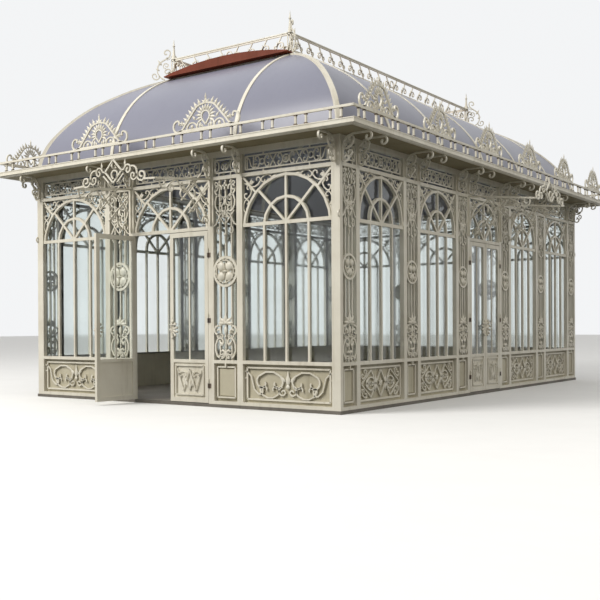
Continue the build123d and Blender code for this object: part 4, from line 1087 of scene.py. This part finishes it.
def porch_scrolls():
    """Loops and scrolls round the lattice of one porch arm, with x running outward."""
    return join([
        bend(0.440, 2.690, 20, [(0.10, 25), (0.055, -230), (0.10, 25)]),
        bend(0.310, 2.790, 70, [(0.06, 20), (0.042, -225), (0.06, 20)]),
        bend(0.310, 2.570, 240, [(0.10, 20), (0.052, 220), (0.10, 20)]),
        bend(
            0.620, 2.845, 335,
            [(0.12, 0), (0.15, -20), (0.05, 0), (0.085, 45), (0.070, 115), (0.042, 200), (0.024, 90)],
            0.017, 0.016, 22,
        ),
        curl(0.750, 2.728, 0.048, 35, -1, 0.016, 0.016),
        curl(0.105, 2.385, 0.050, 300, 1, 0.016, 0.016),
        bend(0.130, 2.342, 10, [(0.16, 75), (0.30, 15)], 0.016, 0.016),
        bend(0.012, 2.330, 90, [(0.55, 0)], 0.020, 0.022),
        rod(0.500, 2.690, 0.640, 2.850, 0.016, 0.015),
        rod(0.340, 2.860, 0.480, 2.720, 0.014, 0.015),
        leaf(0.300, 2.650, 0.085, 0, 0.4),
        leaf(0.300, 2.755, 0.085, 180, 0.4),
    ])


def porch_front(joint):
    """Diamond between two porch arms, with rings and scrolls that fall to the arms."""
    middle = PORCH_END_Z + 0.148
    right_side = [
        rod(0, middle + 0.144, 0.144, middle, 0.018, 0.016),
        rod(0.144, middle, 0, middle - 0.144, 0.018, 0.016),
        rod(0.175, middle - 0.045, 0.075, middle - 0.140, 0.015, 0.016),
        rod(0.144, middle, 0.197, middle + 0.012, 0.016, 0.016),
        curl(0.248, middle + 0.010, 0.052, 170, -1, 0.017, 0.016),
        bend(
            0.296, middle + 0.030, 25,
            [(0.078, -115), (0.035, 0), (0.080, 90), (0.056, 180), (0.032, 210)],
            0.018, 0.016, 18,
        ),
        curl(0.358, middle - 0.085, 0.050, 25, -1, 0.016, 0.016),
        rod(0.515, middle - 0.138, joint, PORCH_END_Z, 0.022, 0.020),
        leaf(0.200, middle + 0.050, 0.075, -6, 0.4),
    ]
    drop = bend(0, middle - 0.095, 140, [(0.12, -15), (0.052, -250), (0.12, -15)], 0.016, 0.016, 24)
    return join(both_sides(right_side) + [drop])


PORCH_END_Z = PORCH_LOW.z + 0.013
PORCH_REACH = -PORCH_LOW.y - HALF_LENGTH
arm_drawing = porch_scrolls()
arms = []
fronts = []
for face, joint in (("front", 0.715), ("right", 0.585)):
    arms += [stand_out(arm_drawing, face, s * joint) for s in (-1, 1)]
    front = porch_front(joint)
    fronts.append(place(front, face, 0, 0.008 - PORCH_REACH))
    clear_away([front])
clear_away([arm_drawing])
finish(join(arms), "porch_arm_scrolls", IVORY)
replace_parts(finish(join(fronts), "porch_fronts", IVORY), "porch_pediments")


# Ornament on the lower panels of the door leaves


FLOWER_Z = 0.992
FIELD_LOW = 0.145
FIELD_HIGH = 0.525
OPEN_ANGLE = -95
FRONT_HINGE_X = 0.670
FRONT_HINGE_Y = -4.094
SIDE_HINGE_X = 2.689
SIDE_HINGE_Y = 0.545


def leaf_field(width):
    """Moulded frame with crossing strokes and scrolls on a leaf's lower panel."""
    half = width / 2
    middle = (FIELD_LOW + FIELD_HIGH) / 2
    tall = (FIELD_HIGH - FIELD_LOW) / 2
    low, high = middle - tall * 0.75, middle + tall * 0.75
    right_side = [
        rod(0, high, half * 0.45, low, 0.014, 0.010),
        rod(half * 0.45, low, half * 0.88, high, 0.014, 0.010),
        scroll("C", half * 0.50, middle + tall * 0.42, tall * 0.75, 90, False, 0.012, 0.010),
        leaf(half * 0.15, middle - tall * 0.45, 0.10, -20, 0.4, 0.014),
    ]
    centre = [leaf(0, middle - tall * 0.70, 0.13, 0, 0.4, 0.014)]
    border = slim_frame(-half, half, FIELD_LOW, FIELD_HIGH, 0.016, 0.012)
    return join(both_sides(right_side) + centre + border)


def half_flower(side):
    """Half of the cast flower at the handles, on one side of the line where the leaves meet."""
    centre = side * 0.022
    petals = []
    for n in range(6):
        turn = 17 + 29.2 * n
        petals.append(leaf(centre, 0, 0.122, -side * turn, 0.30, 0.022))
        knob_x = centre + side * 0.110 * sin(radians(turn))
        petals.append(bead(knob_x, 0.110 * cos(radians(turn)), 0.019, 0.040))
    inner = [leaf(centre, 0, 0.070, -side * (30 + 30 * n), 0.34, 0.042) for n in range(5)]
    return join(petals + inner + [bead(centre, 0, 0.020, 0.052)])


def door_ornament(name, body, side, hinge, swing=0):
    """Field and half flower on the outer face of one leaf, left of the meeting line for side -1."""
    face, centre, width = ("front", 0.339, 0.48) if body.startswith("front") else ("right", 0.276, 0.36)
    spot = Vector((*hinge, 0))
    opened = Matrix.Translation(spot) @ Matrix.Rotation(radians(swing), 4, "Z")
    stand = opened @ Matrix.Translation(-spot) @ FACES[face]
    field = leaf_field(width)
    blossom = half_flower(side)
    pieces = [
        duplicate(field, stand @ Matrix.Translation((side * centre, 0, 0))),
        duplicate(blossom, stand @ Matrix.Translation((0, -0.010, FLOWER_Z))),
    ]
    clear_away([field, blossom])
    finish(join(pieces), name, IVORY, body)


front_hinge = (FRONT_HINGE_X, FRONT_HINGE_Y)
open_hinge = (-FRONT_HINGE_X, FRONT_HINGE_Y)
door_ornament("right_leaf_scrolls", "front_right_leaf", 1, front_hinge)
door_ornament("left_leaf_scrolls", "front_left_leaf", -1, open_hinge, OPEN_ANGLE)
door_ornament("near_leaf_scrolls", "side_near_leaf", -1, (SIDE_HINGE_X, -SIDE_HINGE_Y))
door_ornament("far_leaf_scrolls", "side_far_leaf", 1, (SIDE_HINGE_X, SIDE_HINGE_Y))


# Camera at the photograph's viewpoint

CAMERA_PLACE = Vector((8.461, -13.147, 1.035))
CAMERA_YAW = radians(35.7512)
CAMERA_PITCH = radians(-0.4062)
CAMERA_ROLL = radians(-0.2927)
forward = Vector((
    -sin(CAMERA_YAW) * cos(CAMERA_PITCH),
    cos(CAMERA_YAW) * cos(CAMERA_PITCH),
    sin(CAMERA_PITCH),
))
level_right = Vector((cos(CAMERA_YAW), sin(CAMERA_YAW), 0))
level_up = level_right.cross(forward)
right = cos(CAMERA_ROLL) * level_right + sin(CAMERA_ROLL) * level_up
up = -sin(CAMERA_ROLL) * level_right + cos(CAMERA_ROLL) * level_up
camera_data = bpy.data.cameras.new("viewpoint")
camera_data.lens = 55.53
camera_data.shift_x = 0.0192
camera_data.shift_y = 0.0541
camera_data.clip_end = 200
camera = new_object("viewpoint", camera_data)
turn = Matrix((right, up, -forward)).transposed().to_4x4()
camera.matrix_world = Matrix.Translation(CAMERA_PLACE) @ turn
bpy.context.scene.camera = camera


# Floor, pale surroundings and soft lamps


def seen_directly(tree):
    """Value of 1 where the camera, a mirror or glass looks, and 0 for light on the object."""
    path = node(tree, "ShaderNodeLightPath")
    first = node(tree, "ShaderNodeMath", operation="MAXIMUM")
    either = node(tree, "ShaderNodeMath", operation="MAXIMUM")
    link(tree, path.outputs["Is Camera Ray"], first.inputs[0])
    link(tree, path.outputs["Is Glossy Ray"], first.inputs[1])
    link(tree, first.outputs[0], either.inputs[0])
    link(tree, path.outputs["Is Transmission Ray"], either.inputs[1])
    return either.outputs[0]


scene = bpy.context.scene
scene.view_settings.view_transform = "Standard"
world = bpy.data.worlds.new("pale studio")
scene.world = world
world.use_nodes = True
sky = world.node_tree
sky.nodes.clear()
light_sky = node(sky, "ShaderNodeBackground", Color=(0.96, 0.95, 0.93, 1))
direction = node(sky, "ShaderNodeTexCoord")
height = node(sky, "ShaderNodeSeparateXYZ")
overhead = node(sky, "ShaderNodeMapRange", To_Min=0.09, To_Max=1.05)
link(sky, direction.outputs["Generated"], height.inputs[0])
link(sky, height.outputs["Z"], overhead.inputs["Value"])
link(sky, overhead.outputs["Result"], light_sky.inputs["Strength"])
seen_sky = node(sky, "ShaderNodeBackground", Color=(0.90, 0.91, 0.92, 1))
pick = node(sky, "ShaderNodeMixShader")
out = node(sky, "ShaderNodeOutputWorld")
link(sky, seen_directly(sky), pick.inputs["Fac"])
link(sky, light_sky.outputs[0], pick.inputs[1])
link(sky, seen_sky.outputs[0], pick.inputs[2])
link(sky, pick.outputs[0], out.inputs["Surface"])

deselect()
bpy.ops.mesh.primitive_plane_add(size=160, location=(0, 0, -0.001))
floor = bpy.context.active_object
floor.name = "pale_floor"
floor_paint = painted_finish("pale floor", (0.80, 0.80, 0.79), (0.74, 0.74, 0.73), 0.3, 0.0, 0.75, 0.05)
pale = floor_paint.node_tree
floor_shader = pale.nodes["Principled BSDF"]
pale_colour = floor_shader.inputs["Base Color"].links[0].from_socket
floor_mix = node(pale, "ShaderNodeMix", data_type="RGBA")
floor_mix.inputs[6].default_value = (0.11, 0.11, 0.10, 1)
link(pale, seen_directly(pale), floor_mix.inputs["Factor"])
link(pale, pale_colour, floor_mix.inputs[7])
link(pale, floor_mix.outputs[2], floor_shader.inputs["Base Color"])
floor.data.materials.append(floor_paint)


def soft_lamp(name, place, target, size, power, colour):
    data = bpy.data.lights.new(name, "AREA")
    data.energy = power
    data.size = size
    data.color = colour
    lamp = new_object(name, data)
    lamp.location = place
    aim = Vector(target) - Vector(place)
    lamp.rotation_euler = aim.to_track_quat("-Z", "Y").to_euler()
    lamp.visible_transmission = False


soft_lamp("key lamp", (-7, -18, 14), (0, -3, 1.5), 9, 3900, (1.0, 0.98, 0.95))
soft_lamp("fill lamp", (16, -5, 9), (2, 0, 1.5), 10, 560, (1.0, 0.96, 0.89))
